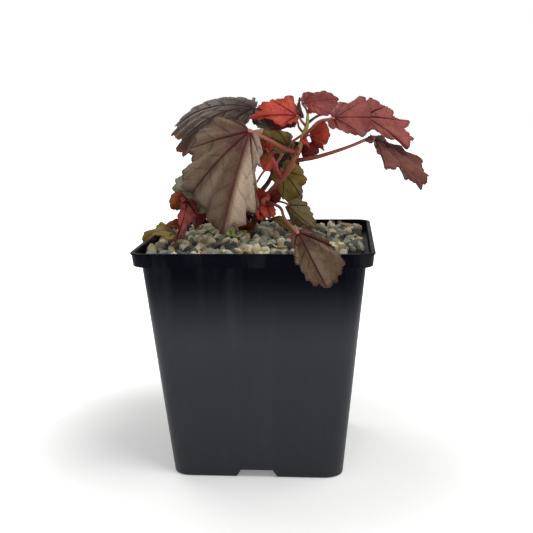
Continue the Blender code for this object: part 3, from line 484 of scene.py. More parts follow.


# leaves

# Base and tip of the midrib, where the upper face looks (heading and rise), the midrib's arch and twist, and the
# fold and curl of the left and the right half, as in the CAD. A half's outline is its reach from the base, in
# percent of the midrib, at fineAngles or the leaf's own angles; a leaf without one takes its kind's, made wider or
# narrower by breadth, and heel draws in its foot. The pale value sets how strongly painted sheen lightens each
# half, teeth scales the teeth.
leaves = {
    "leaf_front_large": {
        "kind": "hand", "base": (-1.8, -26, 154.9), "tip": (-13.8, -37.9, 111.4), "heading": -5, "rise": 0,
        "arch": 46, "twist": -20, "fold": (-59, -15), "curl": (-41, -6), "colour": "bronze leaf", "paintedSheen": (0.8, 0.1),
        "teeth": 0.7,
        "angles": ((0, 6.5, 14.5, 19, 28, 33, 35.5, 36.5, 37.5, 39, 44, 50, 58, 72, 82, 110, 136),
                   (0, 5, 10, 15, 20, 26, 32, 36, 39, 42, 47, 53, 60, 68, 78, 92, 110, 132)),
        "outline": ((100, 93, 93, 81, 88, 90, 72, 60, 42, 35, 31, 30, 36, 44, 36, 27, 22),
                    (100, 99, 96, 93, 90, 87, 88, 89, 91, 92, 87, 72, 60, 61, 55, 47, 35, 12)),
    },
    "leaf_upper_left": {
        "kind": "hand", "base": (-2.5, 6, 164), "tip": (-37, -3, 146.5), "heading": -25, "rise": 55, "arch": 65,
        "fold": (0, -5), "curl": (-10, -15), "colour": "purple leaf", "paintedSheen": (0.0, 0.25),
        "outline": ((104, 103, 99, 95, 96, 97, 87, 76, 36, 33, 51, 34, 8),
                    (104, 96, 101, 107, 119, 116, 132, 115, 101, 101, 86, 58, 8)),
    },
    "leaf_scarlet": {
        "kind": "three", "base": (17.5, -4, 160.5), "tip": (-3, -8, 160), "heading": -5, "rise": 40, "arch": 20,
        "fold": (5, 5), "colour": "scarlet leaf",
        "outline": ((104, 71, 60, 53, 51, 49, 47, 35, 33, 18, 15, 10, 6),
                    (104, 88, 79, 87, 75, 66, 66, 58, 54, 51, 50, 14, 8)),
    },
    "leaf_scarlet_under": {
        "kind": "oval", "base": (16.5, 4, 157.5), "tip": (1, 3, 156), "heading": 0, "rise": -30, "arch": 40,
        "fold": (-20, -10), "curl": (-10, -10), "colour": "dark red leaf",
        "outline": ((99, 85, 70, 63, 59, 27, 24, 21, 19, 16, 23, 16, 8),
                    (99, 94, 84, 72, 66, 61, 55, 24, 21, 33, 26, 18, 9)),
    },
    "leaf_top_rose": {
        "kind": "oval", "base": (20.5, -2, 166.4), "tip": (36, 7, 168), "heading": 10, "rise": 60, "arch": -5,
        "twist": -20, "fold": (-5, 0), "curl": (-10, -15), "colour": "rose leaf",
        "outline": ((105, 100, 89, 85, 84, 77, 72, 64, 58, 43, 22, 11, 5),
                    (105, 95, 93, 92, 83, 78, 73, 69, 64, 44, 31, 16, 5)),
    },
    "leaf_right_rose_inner": {
        "kind": "hand", "base": (34.5, -12, 159.5), "tip": (51, -14.5, 159.5), "heading": 20, "rise": 40, "arch": 15,
        "twist": -20, "fold": (0, 5), "curl": (-15, 0), "colour": "rose leaf", "paintedSheen": (0.3, 0.1),
        "outline": ((100, 100, 99, 99, 100, 100, 98, 95, 64, 58, 62, 37, 12),
                    (100, 100, 99, 98, 102, 105, 79, 67, 58, 43, 37, 31, 19)),
    },
    "leaf_right_rose_outer": {
        "kind": "hand", "base": (48, -5, 160), "tip": (69, -6.5, 145), "heading": 5, "rise": 50, "arch": 10,
        "fold": (5, 20), "curl": (-10, -5), "colour": "rose leaf", "paintedSheen": (0.3, 0.2),
        "outline": ((96, 94, 94, 85, 79, 87, 63, 57, 55, 53, 51, 38, 12),
                    (96, 74, 58, 51, 45, 42, 38, 39, 39, 52, 44, 30, 10)),
    },
    "leaf_behind_stem": {
        "kind": "three", "base": (9.5, 15.5, 134), "tip": (18.5, 20, 118.5), "heading": 20, "rise": 25, "arch": 35,
        "fold": (0, -5), "curl": (0, -5), "colour": "olive leaf",
        "outline": ((94, 90, 76, 68, 73, 72, 66, 61, 59, 47, 40, 35, 22),
                    (94, 95, 90, 89, 81, 76, 69, 63, 53, 45, 37, 35, 21)),
    },
    "leaf_olive_upper": {
        "kind": "three", "base": (13, 6.5, 146), "tip": (2.5, 17, 156.5), "heading": 30, "rise": 35, "arch": 35,
        "fold": (-5, -15), "curl": (-10, -20), "colour": "olive leaf",
        "outline": ((100, 85, 91, 85, 79, 76, 70, 66, 57, 48, 40, 31, 19),
                    (100, 93, 86, 70, 68, 66, 64, 59, 31, 27, 23, 16, 15)),
    },
    "leaf_right_drooping": {
        "kind": "oval", "base": (52, -8, 150), "tip": (74, -12, 127.5), "heading": 60, "rise": 25, "arch": 20,
        "twist": -25, "fold": (-10, 10), "curl": (-5, -10), "colour": "russet leaf",
        "outline": ((100, 98, 95, 90, 86, 80, 72, 45, 42, 42, 28, 22, 11),
                    (100, 77, 59, 57, 55, 55, 51, 23, 20, 17, 25, 17, 9)),
    },
    "leaf_tip_orange": {
        "kind": "three", "base": (23.5, 6, 151), "tip": (31.5, 1, 148), "heading": -5, "rise": -10, "arch": 25,
        "fold": (-15, -15), "curl": (-5, -15), "colour": "scarlet leaf",
        "outline": ((100, 100, 103, 106, 102, 100, 100, 100, 96, 92, 73, 51, 18),
                    (100, 94, 82, 84, 90, 99, 68, 70, 64, 58, 26, 17, 16)),
    },
    "leaf_crimson_small": {
        "kind": "three", "base": (19.3, 2.9, 143.4), "tip": (25.5, 1.5, 148.5), "heading": -20, "rise": 20,
        "arch": 15, "fold": (-10, 0), "curl": (-10, 0), "colour": "dark red leaf",
        "outline": ((100, 89, 76, 71, 68, 62, 58, 54, 49, 44, 37, 24, 6),
                    (100, 97, 97, 104, 108, 114, 106, 94, 80, 69, 61, 30, 7)),
    },
    "leaf_over_rim": {
        "kind": "oval", "base": (20, -54, 114.5), "tip": (32, -66, 94), "heading": -5, "rise": 20, "arch": 45,
        "fold": (-14, -16), "curl": (-10, -10), "colour": "bronze leaf",
        "outline": ((101, 102, 98, 96, 90, 75, 58, 43, 32, 22, 15, 10, 5),
                    (101, 92, 80, 65, 49, 36, 29, 23, 20, 17, 14, 17, 10)),
    },
    "leaf_olive_lower": {
        "kind": "oval", "base": (13, 0, 119), "tip": (26.5, -7, 108.5), "heading": -20, "rise": 0, "arch": 55,
        "fold": (-25, -30), "curl": (-15, 0), "colour": "tan leaf",
        "outline": ((101, 92, 81, 75, 67, 61, 56, 49, 41, 35, 33, 22, 6),
                    (101, 68, 67, 67, 67, 56, 50, 44, 38, 33, 26, 18, 9)),
    },
    "leaf_green_low": {
        "kind": "oval", "base": (3.5, 14, 110.5), "tip": (16, 12.5, 105), "heading": 5, "rise": 75, "arch": 25,
        "twist": -30, "fold": (5, 10), "curl": (10, 10), "colour": "olive leaf",
        "outline": ((89, 70, 60, 55, 50, 45, 43, 39, 31, 27, 12, 15, 8),
                    (89, 99, 84, 66, 27, 25, 23, 20, 17, 15, 22, 15, 8)),
    },
    "leaf_pale_left": {
        "kind": "three", "base": (-24.5, -12, 126), "tip": (-40.5, -11, 128.5), "heading": 0, "rise": -20, "arch": 20,
        "fold": (-10, -10), "curl": (-15, -10), "colour": "cream leaf",
        "outline": ((96, 84, 74, 74, 79, 76, 72, 65, 61, 55, 41, 27, 9),
                    (96, 92, 91, 94, 84, 84, 79, 73, 67, 54, 45, 30, 10)),
    },
    "leaf_left_rim": {
        "kind": "oval", "base": (-36, -24, 108.5), "tip": (-50.5, -33, 106.8), "heading": -30, "rise": 70, "arch": 90,
        "fold": (-5, 10), "curl": (-10, 0), "colour": "olive leaf",
        "outline": ((95, 84, 67, 63, 60, 59, 59, 55, 40, 30, 24, 16, 8),
                    (95, 84, 62, 57, 53, 51, 50, 51, 47, 40, 32, 22, 8)),
    },
    "leaf_crumpled_orange": {
        "kind": "three", "base": (-32.8, -19.3, 125.5), "tip": (-38.9, -21, 120.4), "heading": 20, "rise": -10,
        "arch": 10, "fold": (-10, 5), "curl": (-10, -10), "breadth": (1.1, 1.1), "heel": 0.3, "colour": "orange leaf",
    },
    "leaf_crumpled_pink": {
        "kind": "oval", "base": (-31.5, -20, 123.4), "tip": (-34.5, -36, 107.5), "heading": 30, "rise": 0, "arch": 15,
        "fold": (28, 28), "curl": (10, 10), "breadth": (0.6, 0.55), "heel": 0.3, "colour": "rose leaf",
    },
    "leaf_crumpled_dark": {
        "kind": "oval", "base": (-27, -14.3, 120.9), "tip": (-28, -19, 110.5), "heading": -20, "rise": 35,
        "arch": -10, "fold": (5, -10), "curl": (-10, -10), "breadth": (0.9, 0.9), "heel": 0.4,
        "colour": "dark red leaf",
    },
    "leaf_crumpled_brown": {
        "kind": "three", "base": (-33.9, -25.8, 114.5), "tip": (-40.5, -27.4, 113.2), "heading": -5, "rise": 0,
        "arch": -10, "fold": (10, 15), "curl": (0, 10), "breadth": (0.7, 0.7), "heel": 0.5, "colour": "orange leaf",
    },
    "leaf_sprout_orange": {
        "kind": "oval", "base": (-8.6, 12.1, 105.9), "tip": (-8.5, 6.5, 114.5), "heading": 0, "rise": 20, "arch": 10,
        "fold": (20, 20), "breadth": (0.8, 0.8), "heel": 0.5, "colour": "orange leaf",
    },
    "leaf_sprout_violet": {
        "kind": "oval", "base": (-7.2, 13.7, 110.3), "tip": (-11.5, 7, 118.5), "heading": 0, "rise": 20, "arch": 20,
        "fold": (10, 10), "breadth": (0.5, 0.5), "heel": 0.3, "colour": "purple leaf",
    },
    "leaf_back_left": {
        "kind": "hand", "base": (-6, 34, 151), "tip": (-26, 46, 131), "heading": -150, "rise": 40, "arch": 45,
        "fold": (-10, -10), "curl": (-15, -15), "heel": 0.7, "colour": "bronze leaf",
    },
    "leaf_back_right": {
        "kind": "hand", "base": (38, 24, 160), "tip": (56, 35, 151.5), "heading": 140, "rise": 60, "arch": 35,
        "fold": (-10, -10), "curl": (-15, -15), "heel": 0.5, "colour": "rose leaf",
    },
    "leaf_back_middle": {
        "kind": "hand", "base": (12, 38, 146), "tip": (15, 56, 125), "heading": 175, "rise": 35, "arch": 45,
        "fold": (-10, -10), "curl": (-15, -15), "breadth": (0.95, 0.4), "heel": 0.7, "colour": "purple leaf",
    },
    "leaf_back_low": {
        "kind": "three", "base": (-18, 24, 127), "tip": (-32, 30, 113), "heading": -130, "rise": 40, "arch": 40,
        "fold": (-10, -10), "curl": (-10, -10), "heel": 0.7, "colour": "olive leaf",
    },
}

# small unfolding leaves at the shoot ends, stipules and the cream lobe low on the left
youngColumns = ("kind", "base", "tip", "heading", "rise", "arch", "fold", "curl", "breadth", "colour")
youngRows = {
    "cream": ("three", (-22, -13, 125), (-28.5, -20.5, 117.5), 5, 5, 20, (-5, -5), (0, 0), (0.9, 0.9), "cream leaf"),
    "foot_a": ("oval", (-15, 6, 101.8), (-12.5, 1.5, 108), -20, 30, 30, (20, 20), (10, 10), (0.9, 0.9), "green leaf"),
    "foot_b": ("oval", (-14, 4, 101.8), (-17.5, 0, 106), -40, 40, 40, (20, 20), (10, 10), (0.9, 0.9), "green leaf"),
    "foot_c": ("oval", (-13, 4, 101.8), (-10, -2.5, 104.5), 20, 50, 40, (15, 20), (10, 10), (1, 1), "green leaf"),
    "shoot_a": ("three", (3.6, 0.6, 144.5), (-1.5, -1.5, 139), -10, 20, 30, (-20, -15), (10, 0), (1, 1),
                "orange leaf"),
    "shoot_b": ("oval", (3.2, 0.6, 145.5), (6.5, -1, 151), 10, 10, 20, (20, 15), (0, 0), (0.9, 0.9), "scarlet leaf"),
    "shoot_c": ("oval", (5.2, 1, 142), (1.5, -3, 136), 20, 0, 30, (-15, -20), (0, 0), (1.1, 1), "scarlet leaf"),
    "shoot_d": ("oval", (3, 0.5, 146), (-2, -1, 149.5), -20, 10, 20, (10, 15), (0, 0), (0.9, 0.9), "orange leaf"),
    "top_a": ("oval", (20.6, -2.2, 160), (18.6, -3.5, 169), -60, 10, 15, (35, 35), (10, 10), (0.7, 0.7),
              "purple leaf"),
    "top_b": ("oval", (22.8, -2, 162), (24.8, -3, 167.5), 30, 10, 20, (40, 40), (10, 10), (0.7, 0.7), "scarlet leaf"),
    "stipule_a": ("oval", (20, -1.2, 150.5), (23.5, -2.8, 145.5), 10, 20, 20, (-10, -10), (0, 0), (0.6, 0.6),
                  "scarlet leaf"),
    "stipule_b": ("oval", (17.5, -0.2, 146), (16, -2, 141.5), -10, 10, 20, (-10, -10), (0, 0), (0.5, 0.5),
                  "orange leaf"),
    "knot_a": ("oval", (0, 8, 121), (-4, 3.5, 126), -20, 20, 40, (20, 10), (20, 0), (1.2, 1.2), "scarlet leaf"),
    "knot_b": ("oval", (2, 7.4, 118), (4.5, 3, 113), 0, 30, 40, (-20, 10), (0, 20), (1.2, 1.2), "scarlet leaf"),
    "knot_c": ("oval", (4, 8, 121), (9, 5, 124), 20, 30, 30, (10, -10), (0, 20), (1.1, 1.2), "dark red leaf"),
    "knot_d": ("oval", (-1.5, 9, 117), (-6, 5, 114), -30, 30, 30, (10, -10), (0, 20), (1.1, 1.2), "dark red leaf"),
    "knot_e": ("oval", (0.5, 7, 116.5), (-1, 3, 111.5), -5, 10, 40, (15, 15), (0, 20), (1.2, 1.0), "scarlet leaf"),
}
youngLeaves = {"young_leaf_" + name: dict(zip(youngColumns, row)) for name, row in youngRows.items()}

# degrees from the midrib at which an outline gives its reach
lobeAngles = (0, 16, 34, 50, 66, 100, 138)
fineAngles = (0, 7, 14, 20, 27, 34, 41, 49, 58, 68, 84, 108, 138)
# reach of each half at lobeAngles, and the directions of the main veins
leafKinds = {
    "hand": {"reach": (100, 86, 88, 68, 62, 42, 16), "veins": (0, 34, -34, 68, -68)},
    "three": {"reach": (100, 84, 76, 66, 56, 36, 14), "veins": (0, 38, -38)},
    "oval": {"reach": (100, 88, 72, 56, 44, 26, 12), "veins": (0, 40, -40)},
}
# slot, then the colours of leafParts
leafParts = ("blade", "mottleSheen", "paintedSheen", "vein", "edge", "under")
leafLooks = {
    "bronze leaf": ("bronze_leaf", "#362716", "#5b4936", "#ab9782", "#430e17", "#2e120f", "#6b4a44"),
    "russet leaf": ("bronze_leaf", "#4e2b25", "#704439", "#94706a", "#3c1014", "#3e1615", "#7a5048"),
    "purple leaf": ("purple_leaf", "#2b1d15", "#45342a", "#6e5e52", "#1a0b0f", "#6a3c20", "#3e2a24"),
    "scarlet leaf": ("scarlet_leaf", "#8e2620", "#b84a38", "#c86a56", "#64121a", "#54141e", "#92322a"),
    "dark red leaf": ("dark_red_leaf", "#4c1012", "#6c211d", "#7c4440", "#300a0e", "#340c10", "#5a1e1a"),
    "rose leaf": ("rose_leaf", "#672725", "#8a443d", "#9c5c55", "#3e0d13", "#4a1317", "#7a3631"),
    "olive leaf": ("olive_leaf", "#5c4a1c", "#7c6a30", "#84784a", "#452812", "#683418", "#6a6032"),
    "tan leaf": ("tan_leaf", "#64563a", "#7c6e4d", "#968a6c", "#4d3022", "#52281f", "#7d6f54"),
    "green leaf": ("cream_leaf", "#8c9a44", "#b4bc74", "#c6cd92", "#76823a", "#9aa356", "#a3ab68"),
    "cream leaf": ("cream_leaf", "#6b6e5a", "#8b8973", "#b4ae98", "#565040", "#6c5048", "#8c8571"),
    "orange leaf": ("orange_leaf", "#6a3016", "#8a4c26", "#9c6c44", "#481610", "#4c1612", "#7a482c"),
}
blade = {
    "thickness": 0.34, "step": 0.58,
    # rippled margin, sunk veins and quilted tissue, at full size in leaves longer than fullReliefFrom
    "ripple": 1.1, "rippleLength": 11.0, "veinSink": 0.5, "sideVeinSink": 0.22, "quilt": 0.55, "fullReliefFrom": 30,
    # teeth that carry three small ones each; a peak is a share of the tooth's length
    "toothSpacing": 4.2, "toothDepth": 2.7, "toothPeak": 0.25, "smallToothPeak": 0.3, "smallToothShare": 0.34,
    "fullTeethFrom": 26,
}
# widths and gaps of the veins, in midrib lengths; leaves shorter than smallLeaf have the wider gap
veining = {"width": 0.007, "wider": 0.008, "sideWidth": 0.008, "sideStrength": 0.75, "sideSlope": 0.8,
           "sideGap": 0.17, "smallLeafGap": 0.22, "smallLeaf": 24}


def leafMaterial(name, hexCodes):
    # young mallow foliage: a soft waxy sheen over blotched tissue, with darker sunk veins, and painted sheen in the
    # pale tone and partly in the lighter patch tone
    made, tree, shader = newMaterial(name, {"Specular IOR Level": 0.14})
    tones = dict(zip(leafParts, map(colour, hexCodes)))
    place = addNode(tree, "ShaderNodeTexCoord").outputs["Object"]
    vein, edge, under, paintedSheen = (addNode(tree, "ShaderNodeAttribute", {"attribute_name": key}).outputs["Fac"]
                               for key in ("vein", "edge", "under", "paintedSheen"))
    # blotches about 8 mm across, a mottle whose lighter patch tone is partly painted sheen, and cells of about 1.3 mm
    # between the finest veins
    blotch = addNode(tree, "ShaderNodeTexNoise", {"Scale": 120, "Detail": 6, "Roughness": 0.62}, {"Vector": place})
    mottleSheenShare = addNode(tree, "ShaderNodeMapRange", {1: 0.36, 2: 0.62}, {0: blotch})
    tissue = addNode(tree, "ShaderNodeTexVoronoi", {"feature": "DISTANCE_TO_EDGE", "Scale": 780}, {"Vector": place})
    cells = addNode(tree, "ShaderNodeMapRange", {1: 0.0, 2: 0.12, 3: 0.3, 4: 0.0}, {0: tissue})
    backs = addNode(tree, "ShaderNodeMath", {"operation": "MULTIPLY", 1: 0.8}, {0: under})
    tone = addNode(tree, "ShaderNodeMix", {"data_type": "RGBA", 6: tones["blade"], 7: tones["mottleSheen"]}, {0: mottleSheenShare})
    # the pale tone is painted sheen
    for part, share in (("paintedSheen", paintedSheen), ("vein", cells), ("under", backs), ("edge", edge), ("vein", vein)):
        tone = addNode(tree, "ShaderNodeMix", {"data_type": "RGBA", 7: tones[part]}, {0: share, 6: tone.outputs[2]})
    gloss = addNode(tree, "ShaderNodeMapRange", {1: 0.3, 2: 0.7, 3: 0.4, 4: 0.56}, {0: blotch})
    bump = addNode(tree, "ShaderNodeBump", {"Strength": 0.35, "Distance": 0.25 * mm}, {"Height": tissue})
    connect(tree, shader, {"Base Color": tone.outputs[2], "Roughness": gloss, "Normal": bump})
    return made


def bladeFrame(leaf):
    # base, the ways along, up from and across the blade, and the straight length from base to tip
    base, tip = Vector(leaf["base"]), Vector(leaf["tip"])
    heading, rise = math.radians(leaf["heading"]), math.radians(leaf["rise"])
    looks = Vector((math.sin(heading) * math.cos(rise), -math.cos(heading) * math.cos(rise), math.sin(rise)))
    run = (tip - base).normalized()
    up = (looks - run * looks.dot(run)).normalized()
    return base, run, up, run.cross(up), (tip - base).length


def bentPoints(leaf, x, y, lift):
    # flat points, in midrib lengths, laid on the arched, folded and curled blade and raised by lift
    base, run, up, right, chord = (np.array(part) for part in bladeFrame(leaf))
    arch = math.radians(leaf["arch"])
    radius = chord / (2 * math.sin(arch / 2))
    length = radius * arch
    x, y = x * length, y * length
    column = lambda values: values[:, None]
    along = np.clip(y, 0, 1.3 * length)
    turn = along / radius - arch / 2
    middle = base + run * column(radius * (np.sin(turn) + math.sin(arch / 2)))
    middle = middle + up * column(radius * (np.cos(turn) - math.cos(arch / 2)))
    ahead = run * column(np.cos(turn)) - up * column(np.sin(turn))
    rises = run * column(np.sin(turn)) + up * column(np.cos(turn))
    middle = middle + ahead * column(y - along)
    twist = math.radians(leaf.get("twist", 0)) * y / length
    aside = right * column(np.cos(twist)) + rises * column(np.sin(twist))
    rises = rises * column(np.cos(twist)) - right * column(np.sin(twist))
    folds, curls = leaf["fold"], leaf.get("curl", (0, 0))
    slope = np.radians(np.where(x > 0, folds[1], folds[0]))
    curl = np.radians(np.where(x > 0, curls[1], curls[0])) / (0.5 * length)
    curl = np.where(np.abs(curl) < 1e-5, 1e-5, curl)
    lean = slope + curl * np.abs(x)
    out = (np.sin(lean) - np.sin(slope)) / curl
    high = (np.cos(slope) - np.cos(lean)) / curl
    side = np.sign(x)
    normal = rises * column(np.cos(lean)) - aside * column(side * np.sin(lean))
    return middle + aside * column(side * out) + rises * column(high) + normal * column(lift)


def veinPattern(x, y, veins, gap):
    # strength of the main veins and of the herringbone of side veins that leaves each of them
    turn = np.degrees(np.arctan2(x, y))
    nearest = np.abs(turn[:, None] - np.array(veins)[None, :]).argmin(axis=1)
    angle = np.radians(np.array(veins)[nearest])
    along = x * np.sin(angle) + y * np.cos(angle)
    across = np.abs(x * np.cos(angle) - y * np.sin(angle))
    width = veining["width"] + veining["wider"] * np.clip(1 - along, 0, 1)
    main = np.exp(-(across / width) ** 2) * np.clip(along * 30, 0, 1)
    phase = (along - across * veining["sideSlope"]) / gap
    near = np.abs(phase - np.round(phase)) * gap * veining["sideSlope"]
    side = np.exp(-(near / veining["sideWidth"]) ** 2) * np.clip(across * 40, 0, 1) * veining["sideStrength"]
    return main, side


def halfOutline(leaf, half):
    # angles and reach of one half, in degrees and midrib lengths
    if "outline" in leaf:
        return leaf.get("angles", (fineAngles, fineAngles))[half], [reach / 100 for reach in leaf["outline"][half]]
    first, *rest = (reach / 100 for reach in leafKinds[leaf["kind"]]["reach"])
    radii = [first] + [radius * leaf.get("breadth", (1, 1))[half] for radius in rest]
    radii[-1] *= leaf.get("heel", 1)
    return lobeAngles, radii


def sawTooth(phase, peak):
    return phase / peak if phase < peak else (1 - phase) / (1 - peak)


def toothedEdge(leaf, half, length, seed):
    # one half's smooth margin from tip to foot, and the step that its teeth add at each point
    way = (-1, 1)[half]
    corners = [(way * r * math.sin(math.radians(a)), r * math.cos(math.radians(a)), 0)
               for a, r in zip(*halfOutline(leaf, half))]
    around = sum((Vector(b) - Vector(a)).length for a, b in zip(corners, corners[1:])) * length
    steps = max(16, int(around / blade["step"]))
    line = smoothRoute(corners, steps + 1)
    grown = min(1, length / blade["fullTeethFrom"])
    depth = blade["toothDepth"] * grown * leaf.get("teeth", 1)
    spacing = blade["toothSpacing"] * (0.55 + 0.45 * grown)
    run = 0.0
    offsets = []
    for index, point in enumerate(line):
        ahead = (line[min(index + 1, steps)] - line[max(index - 1, 0)]).normalized()
        outward = Vector((ahead.y, -ahead.x, 0)) * (-way)
        phase = (run / spacing + 0.15) % 1
        small = blade["smallToothShare"] * sawTooth((phase * 3) % 1, blade["smallToothPeak"])
        tooth = (1 - blade["smallToothShare"]) * sawTooth(phase, blade["toothPeak"]) + small
        size = depth * (0.75 + 0.5 * noise.noise((run / 7, seed, way)))
        # teeth are smaller at the tip and end before the foot, where the two halves meet
        fade = min(1, 6 * (1 - index / steps)) * min(1, 0.3 + index / 6)
        offsets.append((outward * (size * (tooth - 0.45) * fade / length)).xy)
        if index < steps:
            run += (line[index + 1] - point).length * length
    return [point.xy for point in line], offsets


def leafMesh(leaf, seed):
    *_, chord = bladeFrame(leaf)
    arch = math.radians(leaf["arch"])
    length = chord * arch / (2 * math.sin(arch / 2))
    (leftLine, leftTeeth), (rightLine, rightTeeth) = (toothedEdge(leaf, half, length, seed) for half in (0, 1))
    margin = np.array(leftLine[::-1] + rightLine[1:], float)
    bite = np.array(leftTeeth[::-1] + rightTeeth[1:], float)
    # rings of points from the base out to the margin
    count = len(margin)
    rings = max(8, int(length / blade["step"] / 1.35))
    shares = np.arange(1, rings + 1) / rings
    flat = np.concatenate([[[0, 0]]] + [margin * share + bite * share**5 for share in shares])
    share = np.concatenate([[0]] + [np.full(count, s) for s in shares])
    place = np.concatenate([[0]] + [np.arange(count) / count for _ in shares])
    x, y = flat[:, 0], flat[:, 1]
    gap = veining["sideGap"] if length > veining["smallLeaf"] else veining["smallLeafGap"]
    main, side = veinPattern(x, y, leafKinds[leaf["kind"]]["veins"], gap)
    side = side * np.clip((1.02 - share) * 8, 0.25, 1)
    # relief: a rippled margin, tissue quilted between the veins, and the veins sunk
    scale = min(1, length / blade["fullReliefFrom"])
    start = random.Random(seed).uniform(0, 6)
    wave = np.sin(place * count * blade["step"] / blade["rippleLength"] * 2 * math.pi + start)
    lift = blade["ripple"] * scale * wave * share**3
    lift = lift + blade["quilt"] * scale * (1 - main) * (1 - side) * np.sin(np.pi * np.clip(share, 0, 1))
    lift = lift - blade["veinSink"] * scale * main - blade["sideVeinSink"] * scale * side
    top = bentPoints(leaf, x, y, lift + blade["thickness"] / 2)
    low = bentPoints(leaf, x, y, lift - blade["thickness"] / 2)
    # the upper face, the lower one turned over, and the thin side between their rims
    total = len(top)
    faces = [(0, 1 + i, 2 + i) for i in range(count - 1)]
    for ring in range(rings - 1):
        inner, outer = 1 + ring * count, 1 + (ring + 1) * count
        faces += [(inner + i, outer + i, outer + i + 1, inner + i + 1) for i in range(count - 1)]
    faces += [tuple(total + i for i in reversed(face)) for face in faces]
    last = 1 + (rings - 1) * count
    rim = [0] + [1 + ring * count for ring in range(rings)] + [last + i for i in range(1, count)]
    rim += [ring * count for ring in range(rings - 1, 0, -1)]
    faces += [(a, b, total + b, total + a) for a, b in zip(rim, rim[1:] + rim[:1])]
    # how strongly each colour shows at a point
    heart = np.clip(1 - np.hypot(x, y) / 0.4, 0, 1)
    vein = np.clip(main * 0.85 + side * 0.28 + heart * 0.45, 0, 1)
    edge = np.clip((share - 0.93) * 9, 0, 0.55)
    # painted sheen: the pale tone lightens one half, where the blade would catch a glossy reflection, and light streaks
    # fan out from the base between the main veins
    light = leaf.get("paintedSheen", (0, 0))
    paintedSheen = np.where(x > 0, light[1], light[0]) * np.clip(np.abs(x) * 14, 0, 1)
    sheenStreaks = np.clip(np.sin(np.degrees(np.arctan2(x, y)) * 0.22 + seed), 0, 1) ** 2
    paintedSheen = paintedSheen + 0.2 * (1 - main) * sheenStreaks * np.clip(share * 2 - 0.3, 0, 1) * (share < 0.97)
    shades = {"vein": np.tile(vein, 2), "edge": np.tile(edge, 2), "paintedSheen": np.tile(np.clip(paintedSheen, 0, 1), 2)}
    return np.concatenate([top, low]), faces, {**shades, "under": np.repeat([0.0, 1.0], total)}


def makeLeaves():
    looks = {key: leafMaterial(key, hexCodes) for key, (_, *hexCodes) in leafLooks.items()}
    for index, (name, leaf) in enumerate({**leaves, **youngLeaves}.items()):
        points, faces, attributes = leafMesh(leaf, index + 3)
        piece = newPiece(name.replace("leaf_", "blade_"), points, faces, looks[leaf["colour"]], attributes)
        if name in leaves:
            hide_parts(name)
        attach(piece, "root")


# stems and leaf stalks

# each stem's middle line and radii from its foot up, its finish with the colours from foot to tip, its node and slot
stems = {
    "stem": {
        "route": ((-7, 17, 99.5), (-6, 16, 106), (-3.8, 13.8, 111.5), (-1.9, 12.3, 115), (0.6, 10.8, 118.5)),
        "radii": (2.6, 1.85, 1.7, 1.75, 2.0), "finish": "smooth green-brown bark",
        "colours": ("#6d6a3c", "#6c4a30", "#5a231f", "#7c3528"), "node": "main_stem", "slot": "bark",
    },
    "leader": {
        "route": ((1.8, 10, 120.5), (4.4, 9.1, 124.6), (7, 8, 127.5), (10.5, 6, 132), (14, 4, 136.5), (16.5, 2, 141),
                  (18.5, 1, 145.5), (20, 0, 150.5), (22, -1, 156), (22.5, -2, 161.5)),
        "radii": (1.9, 1.55, 1.4, 1.4, 1.4, 1.35, 1.2, 1.1, 0.9, 0.55), "finish": "smooth salmon-brown bark",
        "colours": ("#7a2f26", "#8e4a38", "#9a5640", "#8c7a40", "#9a9a50"), "node": "leading_stem", "slot": "bark",
    },
    "branch": {
        "route": ((0.6, 11, 121), (-0.2, 12.8, 124.4), (2, 17, 127.5), (4, 21, 131.5), (4, 24, 136.5),
                  (2.5, 24, 143)), "radii": (1.5, 1.2, 1.1, 1.05, 0.95, 0.8), "finish": "smooth maroon bark",
        "colours": ("#5a231f", "#3c1613", "#4a201c"), "node": "branch_behind", "slot": "dark_bark",
    },
    "red shoot": {
        "route": ((9.4, 6.2, 131.4), (7.6, 3.6, 135), (6.6, 1.8, 138.5), (4.4, 1, 142.5), (3, 0.5, 146)),
        "radii": (1.4, 1.2, 1.1, 0.9, 0.5), "finish": "soft red shoot", "colours": ("#7c2620", "#a83a2c", "#b8503a"),
        "node": "red_side_shoot", "slot": "red_shoot",
    },
    "left shoot": {
        "route": ((-1, 8.5, 119.4), (-8, 3.5, 119.5), (-17, -6, 121), (-25, -13, 122.5), (-31, -18.5, 123.6)),
        "radii": (1.1, 0.9, 0.85, 0.8, 0.7), "finish": "soft maroon shoot",
        "colours": ("#6a241f", "#5c1f1c", "#7c3a30"), "node": "left_side_shoot", "slot": "stalk",
    },
    "foot shoot": {
        "route": ((-9.6, 12.6, 100), (-9.1, 12.6, 103), (-8.6, 12.4, 105.4)), "radii": (1.5, 1.2, 0.6),
        "finish": "soft green shoot", "colours": ("#5f6a26", "#8a9a3a", "#a6b04c"), "node": "foot_shoot",
        "slot": "green_shoot",
    },
    "cut stub": {
        "route": ((-12.5, 14.6, 100), (-13.4, 13.5, 104.5), (-14.6, 12, 109)), "radii": (1.2, 0.9, 0.8),
        "finish": "weathered cut wood", "colours": ("#7a6a4c", "#a08a64", "#b8a47c"), "node": "cut_stub",
        "slot": "cut_wood",
    },
}
